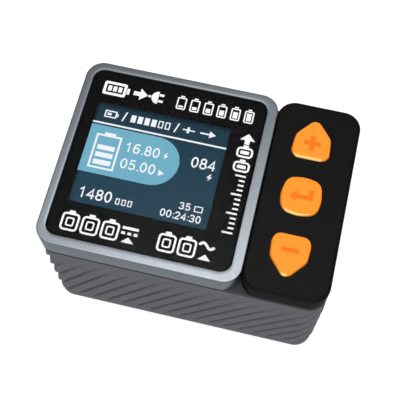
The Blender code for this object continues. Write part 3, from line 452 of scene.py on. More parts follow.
LCD_WHITE = lit("lcd_white", (0.93, 0.96, 0.98))


# ---------------------------------------------------------------- meshes
def add_object(name, data):
    made = bpy.data.objects.new(name, data)
    bpy.context.scene.collection.objects.link(made)
    return made


def place_piece(name, mesh, finish, stands_for=None, body="charger"):
    """Makes a mesh a piece of the object: its finish and body, and the CAD node it shows."""
    piece = add_object(name, mesh)
    mesh.materials.clear()
    mesh.materials.append(finish)
    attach(piece, body)
    if stands_for:
        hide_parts(stands_for)
    return piece


def smooth(mesh, angle=30):
    mesh.shade_smooth()
    mesh.set_sharp_from_angle(angle=math.radians(angle))
    return mesh


def rounded_box_outline(low, high, radius, inset=0.0, steps=16):
    """A rounded rectangle between two corners, counter-clockwise; inset moves it inwards."""
    radius = max(radius - inset, 0.02 * MM)
    x0, y0, x1, y1 = low[0] + inset, low[1] + inset, high[0] - inset, high[1] - inset
    centres = (
        (x1 - radius, y0 + radius, -90),
        (x1 - radius, y1 - radius, 0),
        (x0 + radius, y1 - radius, 90),
        (x0 + radius, y0 + radius, 180),
    )
    outline = []
    for cx, cy, start in centres:
        outline += arc(cx, cy, radius, radius, start, start + 90, steps)
    return outline


def arc(cx, cy, rx, ry, start, end, steps=14):
    """Points of an elliptical arc between two angles in degrees."""
    turns = [math.radians(start + (end - start) * i / steps) for i in range(steps + 1)]
    return [(cx + rx * math.cos(t), cy + ry * math.sin(t)) for t in turns]


def convex_outline(points, radii, grow, steps=8):
    """A convex outline, counter-clockwise, pushed out by grow, with an arc at each corner."""
    outline = []
    corners = [Vector(p) for p in points]
    for i, here in enumerate(corners):
        radius = radii[i % len(radii)] + grow
        before, after = corners[i - 1], corners[(i + 1) % len(corners)]
        come, go = (here - before).normalized(), (after - here).normalized()
        out_come, out_go = Vector((come.y, -come.x)), Vector((go.y, -go.x))
        bend = out_come + out_go
        centre = here + bend.normalized() * (grow - radius) / (bend.length / 2)
        start = math.degrees(math.atan2(out_come.y, out_come.x))
        end = math.degrees(math.atan2(out_go.y, out_go.x))
        end += 360 if end < start else 0
        outline += arc(centre.x, centre.y, radius, radius, start, end, steps)
    return outline


def ring_mesh(name, rings, closed=False, sharp=30):
    """A skin over rings of points, each (outline, z): a closed frame, or else with capped ends."""
    count = len(rings[0][0])
    points = [(x, y, z) for outline, z in rings for x, y in outline]
    spans = len(rings) if closed else len(rings) - 1
    faces = []
    for j in range(spans):
        here, there = j * count, ((j + 1) % len(rings)) * count
        for i in range(count):
            k = (i + 1) % count
            faces.append((here + i, here + k, there + k, there + i))
    if not closed:
        faces.append(tuple(range(count - 1, -1, -1)))
        faces.append(tuple(range((len(rings) - 1) * count, len(rings) * count)))
    mesh = bpy.data.meshes.new(name)
    mesh.from_pydata(points, [], faces)
    tidy = bmesh.new()
    tidy.from_mesh(mesh)
    bmesh.ops.remove_doubles(tidy, verts=tidy.verts, dist=WELD)
    bmesh.ops.recalc_face_normals(tidy, faces=tidy.faces)
    tidy.to_mesh(mesh)
    tidy.free()
    return smooth(mesh, sharp)


def curve_mesh(curve, z):
    """The closed mesh of a filled curve, at height z."""
    guide = add_object("guide", curve)
    graph = bpy.context.evaluated_depsgraph_get()
    mesh = bpy.data.meshes.new_from_object(guide.evaluated_get(graph))
    bpy.data.objects.remove(guide)
    tidy = bmesh.new()
    tidy.from_mesh(mesh)
    bmesh.ops.remove_doubles(tidy, verts=tidy.verts, dist=WELD)
    bmesh.ops.translate(tidy, vec=(0, 0, z), verts=tidy.verts)
    tidy.to_mesh(mesh)
    tidy.free()
    return mesh


def flat_shape(name, outlines, low, thickness, offset=(0, 0)):
    """Thin solids from closed outlines in millimetres, with holes where outlines nest."""
    curve = bpy.data.curves.new(name, "CURVE")
    curve.dimensions = "2D"
    curve.fill_mode = "BOTH"
    curve.extrude = thickness / 2
    for outline in outlines:
        spline = curve.splines.new("POLY")
        spline.points.add(len(outline) - 1)
        for point, (x, y) in zip(spline.points, outline):
            point.co = (x * MM + offset[0], y * MM + offset[1], 0, 1)
        spline.use_cyclic_u = True
    return curve_mesh(curve, low + thickness / 2)


def merged(name, meshes):
    """Several meshes as one."""
    joined = bmesh.new()
    for mesh in meshes:
        joined.from_mesh(mesh)
        bpy.data.meshes.remove(mesh)
    made = bpy.data.meshes.new(name)
    joined.to_mesh(made)
    joined.free()
    return made


def quarter(radius, steps):
    """(inset, drop) pairs of a rounded edge, from its side up to its flat top."""
    turns = [math.pi / 2 * i / steps for i in range(steps + 1)]
    return [(radius * (1 - math.cos(t)), radius * (1 - math.sin(t))) for t in turns]


def rounded_edge(outline, top, radius, steps):
    """Rings of a rounded edge under a flat top; outline(inset) gives the points of each."""
    return [(outline(inset), top - drop) for inset, drop in quarter(radius, steps)]


def cut_with(piece, cutters):
    """Cuts closed meshes out of a piece and applies the result."""
    for cutter in cutters:
        tool = add_object("cutter", cutter)
        modifier = piece.modifiers.new("cut", "BOOLEAN")
        modifier.operation = "DIFFERENCE"
        modifier.solver = "EXACT"
        modifier.object = tool
        graph = bpy.context.evaluated_depsgraph_get()
        result = bpy.data.meshes.new_from_object(piece.evaluated_get(graph))
        piece.modifiers.clear()
        piece.data = result
        bpy.data.objects.remove(tool)
    smooth(piece.data)


def prism(outline, low, high):
    """A closed upright prism over an outline, for cutting."""
    return ring_mesh("prism", [(outline, low), (outline, high)])


# ---------------------------------------------------------------- case
def case_wall(travel):
    """Points and outward normals at these lengths along the case's outline, and its length."""
    half_w, half_d = CASE_HIGH.x - CASE_CORNER, CASE_HIGH.y - CASE_CORNER
    bend = math.pi / 2 * CASE_CORNER
    starts = np.cumsum([0, *(2 * half_w, bend, 2 * half_d, bend) * 2])
    travel = np.mod(travel, starts[-1])
    x, y, nx, ny = (np.zeros_like(travel) for _ in range(4))
    corners = ((half_w, -half_d), (half_w, half_d), (-half_w, half_d), (-half_w, -half_d))
    for side, (cx, cy) in enumerate(corners):
        along = math.radians(90 * side)
        before = corners[side - 1]
        start, bend_start, bend_end = starts[2 * side : 2 * side + 3]
        straight = (travel >= start) & (travel < bend_start)
        turn = (travel >= bend_start) & (travel < bend_end)
        gone = travel - start
        angle = along - math.pi / 2 + (travel - bend_start) / CASE_CORNER
        nx = np.where(straight, math.sin(along), np.where(turn, np.cos(angle), nx))
        ny = np.where(straight, -math.cos(along), np.where(turn, np.sin(angle), ny))
        x = np.where(straight, before[0] + gone * math.cos(along), np.where(turn, cx, x))
        y = np.where(straight, before[1] + gone * math.sin(along), np.where(turn, cy, y))
    return x + CASE_CORNER * nx, y + CASE_CORNER * ny, nx, ny, starts[-1]


def ramp(value, low, high):
    """0 before low, 1 after high, straight between; low may be above high."""
    return np.clip((value - low) / (high - low), 0, 1)


def ease(value, low, high):
    """As ramp, with soft ends."""
    t = ramp(value, low, high)
    return t * t * (3 - 2 * t)


def plain_field(x, y, z):
    """0 round the sockets of the side walls, 1 away from them: no ridge runs into a socket."""
    share = np.ones_like(y)
    for name in ("ac_inlet", "dc_input_socket", "usb_c_port", "output_socket", "balance_socket"):
        low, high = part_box(name)
        beside = np.maximum(low.y - y, y - high.y)
        away = np.maximum(beside, max(low.z - z, z - high.z))
        clear = ease(away, *SOCKET_CLEAR)
        share = np.where(x * low.x > 0, np.minimum(share, clear), share)
    return share


def groove_carve(phase):
    """The depth across one groove of the front, rear or right corners: a V with soft shoulders."""
    near = np.clip(1 - np.abs(phase - 0.5) / GROOVE_HALF, 0, 1)
    return GROOVE_DEPTH * near**1.15


def ridge_carve(phase):
    """The depth across one ridge of the side walls or left corners: a long flank and a short one.

    It is below 0 near the crest, which stands a little proud of the case.
    """
    along = np.mod(phase - 0.5, 1.0)
    height = np.minimum(along / RIDGE_CREST, (1 - along) / (1 - RIDGE_CREST))
    return RIDGE_SINK - (RIDGE_SINK + RIDGE_RISE) * height


def case_mesh():
    """The grooved case: its columns lean with the grooves, so that each one stays crisp."""
    around = case_wall(np.zeros(1))[-1]
    steps = (-1, -0.84, -0.66, -0.45, -0.2, 0.0, 0.2, 0.45, 0.66, 0.84, 1)
    phases = np.array([0.0, 0.12, 0.24, *(0.5 + GROOVE_HALF * t for t in steps), 0.78, 0.89])
    phase = np.tile(phases, GROOVE_COUNT)
    turns = np.repeat(np.arange(GROOVE_COUNT), len(phases)) + phase + GROOVE_PHASE
    columns = turns * (around / GROOVE_COUNT)

    low, parting = CASE_LOW.z, DECK_Z - PARTING_LOW
    fillet = sorted((low + drop, inset) for inset, drop in quarter(CASE_FILLET, 8))
    rows = [(low, BASE_RIM)] + fillet[1:]
    rows += [(z, 0.0) for z in np.linspace(low + CASE_FILLET, parting, WALL_ROWS)[1:]]
    rows += [(parting + PARTING_EDGE, PARTING_STEP), (DECK_Z - PARTING_HIGH, PARTING_STEP)]
    rows += [(DECK_Z - PARTING_HIGH + PARTING_EDGE, PARTING_EDGE), (DECK_Z - DECK_EDGE, 0.0)]
    rows += [(DECK_Z, DECK_EDGE), (DECK_Z, DECK_RIM)]

    rings = []
    for z, inset in rows:
        x, y, nx, ny, _ = case_wall(columns + (z - low) / math.tan(GROOVE_LEAN))
        corner = ease(np.abs(nx), *LEFT_TURN)
        flank = np.where(x < 0, corner, ease(np.abs(nx), *RIGHT_TURN))
        ridge_top = ease(z, *RIDGE_FADE_TOP)
        started = (1 - corner) * ramp(z, *GROOVE_FADE_TOP) + corner * ridge_top
        groove = (1 - flank) * started * groove_carve(phase)
        ridge = flank * ridge_top * plain_field(x, y, z) * ridge_carve(phase)
        carve = inset + ease(z, *GROOVE_FADE_BOTTOM) * (groove + ridge)
        rings.append((list(zip(x - nx * carve, y - ny * carve)), z))

    inside = []
    x, y, nx, ny, _ = case_wall(columns)
    for z, inset in ((DECK_Z - CASE_WALL, CASE_WALL), (BASE_TOP, CASE_WALL), (BASE_TOP, BASE_RIM)):
        inside.append((list(zip(x - nx * inset, y - ny * inset)), z))
    return ring_mesh("case_shell", inside + rings, sharp=35)


def middle(node):
    low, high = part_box(node)
    return (low + high) / 2


def socket_outline(node, radius):
    """A rounded rectangle round a socket, as (y, z) points."""
    low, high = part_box(node)
    opening_low = (low.y - SOCKET_GAP, low.z - SOCKET_GAP)
    opening_high = (high.y + SOCKET_GAP, high.z + SOCKET_GAP)
    return rounded_box_outline(opening_low, opening_high, radius, steps=6)


def power_outline(node):
    """The keyed outline round a two-pole power connector, as (y, z) points."""
    centre = middle(node)
    half_w, half_h, cut = 8.0 * MM + SOCKET_GAP, 4.1 * MM + SOCKET_GAP, 2.4 * MM
    corners = [(-half_w, -half_h), (half_w - cut, -half_h), (half_w, -half_h + cut)]
    corners += [(y, -z) for y, z in reversed(corners)]
    outline = convex_outline(corners, [0.3 * MM], 0.0, steps=3)
    return [(y + centre.y, z + centre.z) for y, z in outline]


def vent_cutter():
    """Slots in front of the fan, in line with the grooves of the rear wall."""
    fan = middle("fan_frame")
    count = int(VENT_RADIUS / VENT_PITCH)
    slots = []
    for i in range(1 - count, count):
        across = i * VENT_PITCH
        half, end = math.sqrt(VENT_RADIUS**2 - across**2), VENT_SLOT / 2
        slot = rounded_box_outline((-half, -end), (half, end), end, steps=4)
        mesh = prism(slot, -VENT_REACH, VENT_REACH)
        turn = Matrix.Rotation(GROOVE_LEAN, 4, "Y")
        place = turn @ Vector((0, 0, across)) + Vector((fan.x, CASE_HIGH.y, fan.z))
        mesh.transform(Matrix.Translation(place) @ turn @ Matrix.Rotation(math.pi / 2, 4, "X"))
        slots.append(mesh)
    return merged("vent_slots", slots)


def case_cutters():
    """The openings in the walls for the sockets and the fan."""
    sideways = Matrix(((0, 0, 1), (1, 0, 0), (0, 1, 0))).to_4x4()
    left = (CASE_LOW.x - MM, CASE_LOW.x + SOCKET_DEPTH)
    right = (CASE_HIGH.x - SOCKET_DEPTH, CASE_HIGH.x + MM)
    cutters = []
    for outline, side in (
        (socket_outline("ac_inlet", 1.2 * MM), left),
        (socket_outline("usb_c_port", 1.9 * MM), left),
        (power_outline("dc_input_socket"), left),
        (power_outline("output_socket"), right),
        (socket_outline("balance_socket", 0.3 * MM), right),
    ):
        cutter = prism(outline, *side)
        cutter.transform(sideways)
        cutters.append(cutter)
    return cutters + [vent_cutter()]


def make_case():
    mesh = case_mesh()
    case = place_piece("case_shell", mesh, CASE_GREY, "main_case")
    cut_with(case, case_cutters())


# ---------------------------------------------------------------- display frame, window and keypad
def recess(grow):
    """The opening of the display frame: the window with the gap round it."""
    low = WINDOW_LOW - Vector((BEZEL_GAP, BEZEL_GAP_FRONT, 0))
    high = WINDOW_HIGH + Vector((BEZEL_GAP, BEZEL_GAP, 0))
    return rounded_box_outline(low, high, RECESS_CORNER, -grow)


def make_bezel():
    """The frame round the window, with a ledge under it that carries the window."""
    low = BEZEL_LOW
    high = Vector((KEYPAD_LOW.x - BEZEL_TO_KEYPAD, BEZEL_HIGH.y, BEZEL_HIGH.z))
    ledge_top, ledge_under = WINDOW_LOW.z - 0.2 * MM, WINDOW_LOW.z - 1.2 * MM

    def outer(inset):
        return rounded_box_outline(low, high, BEZEL_CORNER, inset)

    rings = [(outer(BEZEL_FOOT), low.z), (outer(0), low.z + BEZEL_FOOT)]
    rings += rounded_edge(outer, TOP_Z, BEZEL_EDGE, 5)
    rings += [(outer(0.5 * MM), TOP_Z)]
    rings += [(recess(grow * MM), TOP_Z - drop * MM) for grow, drop in BEZEL_LIP]
    rings += [(recess(0), ledge_top), (recess(-LEDGE), ledge_top), (recess(-LEDGE), ledge_under)]
    rings += [(outer(LEDGE), ledge_under - 0.2 * MM), (outer(LEDGE), low.z)]
    mesh = ring_mesh("display_frame", rings, closed=True)
    place_piece("display_frame", mesh, BEZEL_GREY, "display_bezel")


def make_window():
    """A clear pane over a black sheet with an opening for the lit area."""
    low, high = WINDOW_LOW, WINDOW_HIGH
    pane_low = high.z - PANE

    def pane(inset):
        return rounded_box_outline(low, high, PANE_CORNER, inset * MM, steps=14)

    rings = [(pane(0), pane_low), (pane(0), high.z - 0.12 * MM)]
    rings += [(pane(0.04), high.z - 0.04 * MM), (pane(0.12), high.z), (pane(0.4), high.z)]
    mesh = ring_mesh("window_pane", rings)
    place_piece("window_pane", mesh, GLASS, "display_window")

    mask_high = pane_low - CLEARANCE
    outer = recess(-0.02 * MM)
    inner = rounded_box_outline(VIEW_LOW, VIEW_HIGH, 0.15 * MM)
    rings = [(outer, low.z), (outer, mask_high), (inner, mask_high), (inner, low.z)]
    mesh = ring_mesh("window_mask", rings, closed=True)
    place_piece("window_mask", mesh, MASK_BLACK)


def make_keypad_cover():
    """A black shell, open below, with an opening for each key."""
    low, high = KEYPAD_LOW, KEYPAD_HIGH
    under = high.z - KEYPAD_SKIN

    def outer(inset):
        return rounded_box_outline(low, high, KEYPAD_CORNER, inset)

    rings = [(outer(KEYPAD_WALL), under), (outer(KEYPAD_WALL), low.z), (outer(KEYPAD_FOOT), low.z)]
    rings += [(outer(0), low.z + KEYPAD_FOOT)]
    rings += rounded_edge(outer, high.z, KEYPAD_EDGE, 6)
    rings += [(outer(1.2 * MM), high.z)]
    mesh = ring_mesh("keypad_shell", rings)
    cover = place_piece("keypad_shell", mesh, PANEL_BLACK, "keypad_cover")
    cut_with(cover, [prism(key_outline(name, KEY_GAP), under - MM, high.z + MM) for name in KEYS])


# ---------------------------------------------------------------- keys
# Corners, corner radii and place along Y; outlines in millimetres from the key's centre.
ARROW_KEY = [(-5.67, -6.03), (5.67, -6.03), (5.17, 1.13), (0, 7.23), (-5.17, 1.13)]
ARROW_RADII = [2.44, 2.44, 3.3, 2.07, 3.3]
ENTER_FRONT = [(-5.92, 0), (-4.99, -5.04), (0, -5.99), (4.99, -5.04)]
ENTER_KEY = ENTER_FRONT[1:] + [(-x, -y) for x, y in ENTER_FRONT] + ENTER_FRONT[:1]
ENTER_RADII = [3.17, 10.0]
KEY_PITCH = 18.3 * MM
KEYS = {
    "up": (ARROW_KEY, ARROW_RADII, KEY_PITCH),
    "enter": (ENTER_KEY, ENTER_RADII, 0.0),
    "down": ([(-x, -y) for x, y in ARROW_KEY], ARROW_RADII, -KEY_PITCH),
}


def key_centre(name):
    return Vector((middle("enter_button").x, KEYS[name][2]))


def key_outline(name, grow):
    points, radii, _ = KEYS[name]
    centre = key_centre(name)
    shape = convex_outline([(x * MM, y * MM) for x, y in points], [r * MM for r in radii], grow)
    return [(x + centre.x, y + centre.y) for x, y in shape]


def symbol_outline(name):
    """The mark on a key, in millimetres from its centre: a plus, a return arrow or a minus."""
    if name == "up":
        arm, half, y = 2.5, 0.7, -1.35
        plus, part = [], [(half, -half), (arm, -half), (arm, half)]
        for _ in range(4):
            plus += [(px, py + y) for px, py in part]
            part = [(-py, px) for px, py in part]
        return plus
    if name == "down":
        return bar(-2.55, 0.62, 2.55, 1.92)
    head, hook = [(-3.5, -0.55), (-1.45, -2.35), (-1.45, -1.2)], [(3.3, -1.2), (3.3, 1.95)]
    return head + hook + [(1.9, 1.95), (1.9, 0.1), (-1.45, 0.1), (-1.45, 1.25)]


def make_key(name):
    """A cap with a flange under the keypad cover and a slightly raised crown, and its mark."""
    body, button = f"{name}_key", f"{name}_button"
    low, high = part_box(button)
    flange_top = low.z + KEY_FLANGE

    def outer(inset):
        return key_outline(name, -inset)

    rings = [(outer(-KEY_FLANGE), low.z), (outer(-KEY_FLANGE), flange_top), (outer(0), flange_top)]
    rings += rounded_edge(outer, high.z, KEY_EDGE, 6)
    rings += [(outer(CROWN_INSET), high.z + CROWN_RISE)]
    cap = ring_mesh(f"{name}_key_cap", rings)
    place_piece(f"{name}_key_cap", cap, KEY_ORANGE, button, body)
    outlines = [symbol_outline(name)]
    mark = flat_shape(f"{name}_key_mark", outlines, high.z, MARK_HEIGHT, key_centre(name))
    place_piece(f"{name}_key_mark", mark, KEY_SYMBOL, body=body)


# ---------------------------------------------------------------- flat outlines
def bar(x0, y0, x1, y1):
    return [(x0, y0), (x1, y0), (x1, y1), (x0, y1)]


def rounded_bar(x0, y0, x1, y1, radius, inset=0.0):
    outline = rounded_box_outline(
        (x0 * MM, y0 * MM), (x1 * MM, y1 * MM), radius * MM, inset * MM, steps=6
    )
    return [(x / MM, y / MM) for x, y in outline]


def band(path, width, closed=False):
    """The outline of a band along a path; a closed path gives two nested outlines."""
    count = len(path)
    points = [Vector(p) for p in path]
    left, right = [], []
    for i, here in enumerate(points):
        come = (here - points[i - 1]).normalized() if closed or i else None
        go = (points[(i + 1) % count] - here).normalized() if closed or i < count - 1 else None
        come, go = come or go, go or come
        n_come, n_go = Vector((-come.y, come.x)), Vector((-go.y, go.x))
        out = (n_come + n_go) / max(1 + n_come.dot(n_go), 0.35) * width / 2
        left.append(tuple(here + out))
        right.append(tuple(here - out))
    return [left, right] if closed else [left + right[::-1]]


def arrow(x, y, shaft, half_shaft, head, half_head, upright=False):
    """An arrow from the middle of its tail, to the right or upright."""
    end = shaft + head
    shape = [(0, -half_shaft), (shaft, -half_shaft), (shaft, -half_head), (end, 0)]
    shape += [(px, -py) for px, py in shape[-2::-1]]
    return [(x - py, y + px) if upright else (x + px, y + py) for px, py in shape]


def triangle(x0, x1, base, tip):
    return [(x0, base), (x1, base), ((x0 + x1) / 2, tip)]


# ---------------------------------------------------------------- picture on the display
# Digits as strokes in a box one unit high: each a path, and whether it is closed to a ring.
RING = {"start": 0, "end": 345, "steps": 23}
STROKES = {
    "0": [(arc(0.28, 0.5, 0.225, 0.45, **RING), True)],
    "1": [([(0.09, 0.74), (0.22, 0.79), (0.33, 0.95), (0.33, 0.0)], False)],
    "2": [(arc(0.28, 0.70, 0.225, 0.25, 170, -38) + [(0.05, 0.05), (0.53, 0.05)], False)],
    "3": [(arc(0.27, 0.72, 0.20, 0.23, 165, -85) + arc(0.27, 0.27, 0.235, 0.22, 85, -165), False)],
    "4": [([(0.42, 0.0), (0.42, 0.92), (0.04, 0.29), (0.57, 0.29)], False)],
    "5": [
        (
            [(0.50, 0.95), (0.14, 0.95), (0.085, 0.50)] + arc(0.27, 0.33, 0.235, 0.28, 132, -155),
            False,
        ),
    ],
    "6": [
        (arc(0.28, 0.31, 0.225, 0.26, **RING), True),
        (arc(0.33, 0.46, 0.28, 0.49, 50, 180), False),
    ],
    "8": [
        (arc(0.28, 0.73, 0.195, 0.22, **RING), True),
        (arc(0.28, 0.28, 0.23, 0.235, **RING), True),
    ],
    ".": [([(0.12, 0.0), (0.12, 0.12)], False)],
    ":": [([(0.12, 0.08), (0.12, 0.20)], False), ([(0.12, 0.56), (0.12, 0.68)], False)],
}
DIGIT_ADVANCE = 0.70
POINT_ADVANCE = 0.27
DIGIT_SPACE = 0.14

# The numbers shown: text, left, base, right, height and stroke.
NUMBERS = (
    ("16.80", 11.8, 18.75, 22.2, 3.15, 0.47),
    ("05.00", 11.8, 13.35, 22.2, 3.15, 0.47),
    ("084", 31.9, 18.35, 39.0, 3.35, 0.5),
    ("1480", 2.5, 1.85, 12.3, 3.35, 0.5),
    ("35", 31.7, 4.75, 35.0, 2.15, 0.36),
    ("00:24:30", 26.9, 1.5, 38.7, 2.25, 0.36),
)


def lit_shape(outlines, z):
    """A thin solid of outlines that are in units of the lit area."""
    scale = LCD_WIDTH / LCD_UNITS / MM
    sized = [[(x * scale, y * scale) for x, y in outline] for outline in outlines]
    return flat_shape("lit", sized, z, LCD_LAYER, (LCD_LEFT, LCD_FRONT))


def number(text, left, base, right, height, stroke, z):
    """Meshes of a number that fills left to right."""
    advances = [POINT_ADVANCE if mark in ".:" else DIGIT_ADVANCE for mark in text]
    width = (right - left) / (sum(advances) - DIGIT_SPACE)
    meshes = []
    start = 0.0
    for mark, advance in zip(text, advances):
        for path, closed in STROKES[mark]:
            sized = [(left + (start + x) * width, base + y * height) for x, y in path]
            meshes.append(lit_shape(band(sized, stroke, closed), z))
        start += advance
    return meshes


def cell_signs(x, y, count, width, height, gap, stroke, filled=0):
    """A row of cell pictograms: outlined boxes, the first ones filled."""
    outlines = []
    for i in range(count):
        x0 = x + i * (width + gap)
        outlines.append(bar(x0, y, x0 + width, y + height))
        if i >= filled:
            x1, top = x0 + width - stroke, y + height - stroke
            outlines.append(bar(x0 + stroke, y + stroke, x1, top))
    return outlines


def bolt(x, y, width, height):
    """A lightning bolt."""
    shape = [(0.62, 1), (0, 0.42), (0.42, 0.42), (0.3, 0), (1, 0.6), (0.55, 0.6), (0.8, 1)]
    return [(x + px * width, y + py * height) for px, py in shape]


def header_signs():
    """The header line: a battery, a row of six cells, a level bar and an arrow."""
    outlines = [bar(2.9, 28.5, 6.6, 30.9), bar(3.3, 28.9, 6.2, 30.5)]
    outlines += [bar(6.65, 29.2, 7.1, 30.2), bar(3.7, 29.3, 5.0, 30.1)]
    for x in (8.3, 24.3):
        outlines += [[(x, 28.2), (x + 0.45, 28.2), (x + 1.4, 31.4), (x + 0.95, 31.4)]]
    outlines += cell_signs(11.0, 28.5, 6, 1.5, 2.4, 0.6, 0.34, filled=4)
    outlines += [bar(26.9, 29.55, 30.6, 29.95), bar(28.2, 28.75, 28.9, 30.75)]
    outlines += [arrow(32.2, 29.75, 2.8, 0.25, 2.0, 1.15)]
    return outlines


def reading_signs():
    """A rule, a battery with three bars, and small signs in place of unit letters."""
    outlines = [bar(0.0, 26.1, 40.8, 26.65)]
    outlines += [bar(4.8, 22.75, 8.2, 23.55), bar(2.5, 11.6, 10.3, 22.8)]
    outlines += [bar(3.1, 12.2, 9.7, 22.2)]
    outlines += [bar(3.75, y, 9.0, y + 1.55) for y in (12.95, 15.35, 17.75)]
    outlines += [bolt(23.35, 18.75, 1.5, 2.3), bolt(37.2, 15.0, 1.7, 2.3)]
    outlines += [[(23.3, 13.3), (25.0, 14.3), (23.3, 15.3)]]
    outlines += cell_signs(13.6, 1.9, 3, 1.25, 1.9, 0.55, 0.3)
    outlines += cell_signs(36.1, 4.75, 1, 2.5, 1.9, 0.5, 0.3)
    return outlines


def make_display():
    """The dark panel, a blue field on it, and the readings on top."""
    surface = MODULE_TOP - 0.05 * MM
    low = (LCD_LEFT - LCD_EDGE, LCD_FRONT - LCD_EDGE)
    high = (LCD_LEFT + LCD_WIDTH + LCD_EDGE, LCD_FRONT + LCD_DEPTH + LCD_EDGE)
    panel = rounded_box_outline(low, high, 0.3 * MM, steps=4)
    mesh = ring_mesh("display_panel", [(panel, surface - 0.2 * MM), (panel, surface)])
    place_piece("display_panel", mesh, LCD_FIELD)

    blue_low = surface + LCD_STEP
    pill = [(0.0, 9.9)] + arc(20.75, 17.75, 7.85, 7.85, -90, 90, 32) + [(0.0, 25.6)]
    place_piece("display_field", lit_shape([pill], blue_low), LCD_BLUE)

    white_low = blue_low + LCD_LAYER + LCD_STEP
    meshes = [lit_shape(reading_signs() + header_signs(), white_low)]
    for row in NUMBERS:
        meshes += number(*row, white_low)
    readings = merged("display_readings", meshes)
    place_piece("display_readings", readings, LCD_WHITE)


# ---------------------------------------------------------------- print on the window
def outlined_cell(x0, y0, width, height):
    """A cell pictogram: a rounded outline with a cap at its rear, round an outline or a block."""
    stroke = 0.6
    x1, top = x0 + width, y0 + height - stroke
    shapes = [rounded_bar(x0, y0, x1, top, 1.2, inset) for inset in (0.0, stroke)]
    if top - y0 > 4:
        shapes += [rounded_bar(x0, y0, x1, top, 1.9, 1.4)]
        shapes += [rounded_bar(x0, y0, x1, top, 2.2, 1.4 + 0.7 * stroke)]
    else:
        shapes += [rounded_bar(x0, y0, x1, top, 1.4, 1.15)]
    third = width / 3
    shapes += [bar(x0 + third, top + 0.02, x1 - third, y0 + height + 0.1)]
    return shapes


def sine(x, y, width, height, stroke):
    """One wave of the sign for alternating current."""
    path = [(x + width * i / 16, y + height / 2 * math.sin(math.tau * i / 16)) for i in range(17)]
    return band(path, stroke)


def print_shapes():
    """The white marks round the lit area, in millimetres on the window: pictograms only."""
    shapes = []
    # Rear left, bold: a battery, an arrow, a plug.
    shapes += [rounded_bar(-36.0, 20.0, -28.9, 24.6, 0.7)]
    shapes += [rounded_bar(-36.0, 20.0, -28.9, 24.6, 0.4, 0.85), bar(-28.7, 21.3, -27.9, 23.3)]
    shapes += [bar(x, 21.4, x + 1.15, 23.2) for x in (-34.6, -33.0, -31.4)]
    shapes += [arrow(-26.6, 22.3, 2.0, 0.7, 2.4, 2.0)]
    shapes += [arc(-18.9, 22.3, 2.1, 2.1, 90, 270, 12), bar(-22.0, 21.95, -21.15, 22.65)]
    shapes += [bar(-18.7, y, -17.3, y + 0.8) for y in (22.95, 20.85)]
    # Rear right: six cells whose fill rises from left to right.
    for i in range(6):
        x0 = -13.1 + i * 4.15
        shapes += [rounded_bar(x0, 20.0, x0 + 2.9, 24.1, 0.5)]
        shapes += [rounded_bar(x0, 20.0, x0 + 2.9, 24.1, 0.3, 0.42)]
        shapes += [bar(x0 + 0.85, 24.25, x0 + 2.05, 24.7)]
        shapes += [bar(x0 + 0.75, 20.75, x0 + 2.15, 21.3 + 0.4 * i)]
    # Right: a scale that rises to two outlined cells and an arrow.
    for i in range(13):
        wide = 3.1 if i % 4 == 0 else 1.7
        y0 = -15.6 + i * 1.5
        shapes += [bar(12.3 - wide, y0, 12.3, y0 + 0.55)]
    shapes += outlined_cell(7.9, 3.9, 4.9, 4.0) + outlined_cell(7.9, 8.6, 4.9, 4.0)
    shapes += [arrow(10.35, 13.0, 1.4, 0.75, 2.2, 2.25, upright=True)]
    # Front: three outlined cells and the sign for direct current, two and that for alternating.
    for x0 in (-36.0, -30.1, -24.2, -7.7, -1.8):
        shapes += outlined_cell(x0, -25.1, 5.2, 6.1)
    shapes += [bar(-18.3, -20.9, -13.6, -20.1), triangle(-17.8, -14.1, -24.9, -23.2)]
    shapes += [bar(x0, -22.5, x0 + 1.1, -21.7) for x0 in (-18.3, -16.5, -14.7)]
    shapes += sine(4.0, -20.6, 4.4, 1.6, 0.75) + [triangle(4.4, 8.1, -24.9, -23.2)]
    return shapes


def make_window_print():
    low = WINDOW_HIGH.z - PANE + 0.02 * MM
    mesh = flat_shape("window_print", print_shapes(), low, 0.02 * MM)
    place_piece("window_print", mesh, PRINT_WHITE)


# ---------------------------------------------------------------- finishes of the CAD nodes
SLOT_FINISHES = {
    "case_plastic": CASE_GREY,
    "bezel_plastic": BEZEL_GREY,
    "panel_plastic": PANEL_BLACK,
    "window_glass": GLASS,
    "key_plastic": KEY_ORANGE,
    "foot_rubber": FOOT_RUBBER,
    "screw_steel": STEEL,
    "contact_gold": GOLD,
    "tinned_metal": TIN,
    "circuit_board": BOARD,
    "yellow_plastic": YELLOW_PART,
    "white_plastic": WHITE_PART,
    "black_plastic": BLACK_PART,
    "ferrite": FERRITE,
    "winding_tape": TAPE,
    "heatsink_aluminium": ALUMINIUM,
    "insulation_film": FILM,
}

# Edge rounding, in millimetres, of the CAD nodes that show from outside.
SOFT_EDGES = {
    0.35: ("base_cover", "ac_inlet"),
    0.3: ("foot_front_left", "foot_front_right", "foot_rear_left", "foot_rear_right"),
    0.2: ("dc_input_socket", "output_socket", "balance_socket", "fan_frame"),
    0.12: ("usb_c_port",),
}


def soften_edges(node, width):
    """Rounds the edges of a CAD node's mesh, whose faces are joined first."""
    node.modifiers.new("weld", "WELD").merge_threshold = 0.001 * MM
    bevel = node.modifiers.new("soft_edges", "BEVEL")
    bevel.width = width
    bevel.segments = 2
    bevel.limit_method = "ANGLE"
    bevel.angle_limit = math.radians(40)
    bevel.use_clamp_overlap = True
    bevel.harden_normals = True


def finish_cad_nodes():
    """Every CAD node takes its slot's finish; those that show from outside get soft edges."""
    for row in frame["record"]["subparts"]:
        node = frame["nodes"][row["node"]]
        node.data.materials.clear()
        node.data.materials.append(SLOT_FINISHES[row["material_slot"]])
    for width, names in SOFT_EDGES.items():
        for name in names:
            soften_edges(frame["nodes"][name], width * MM)


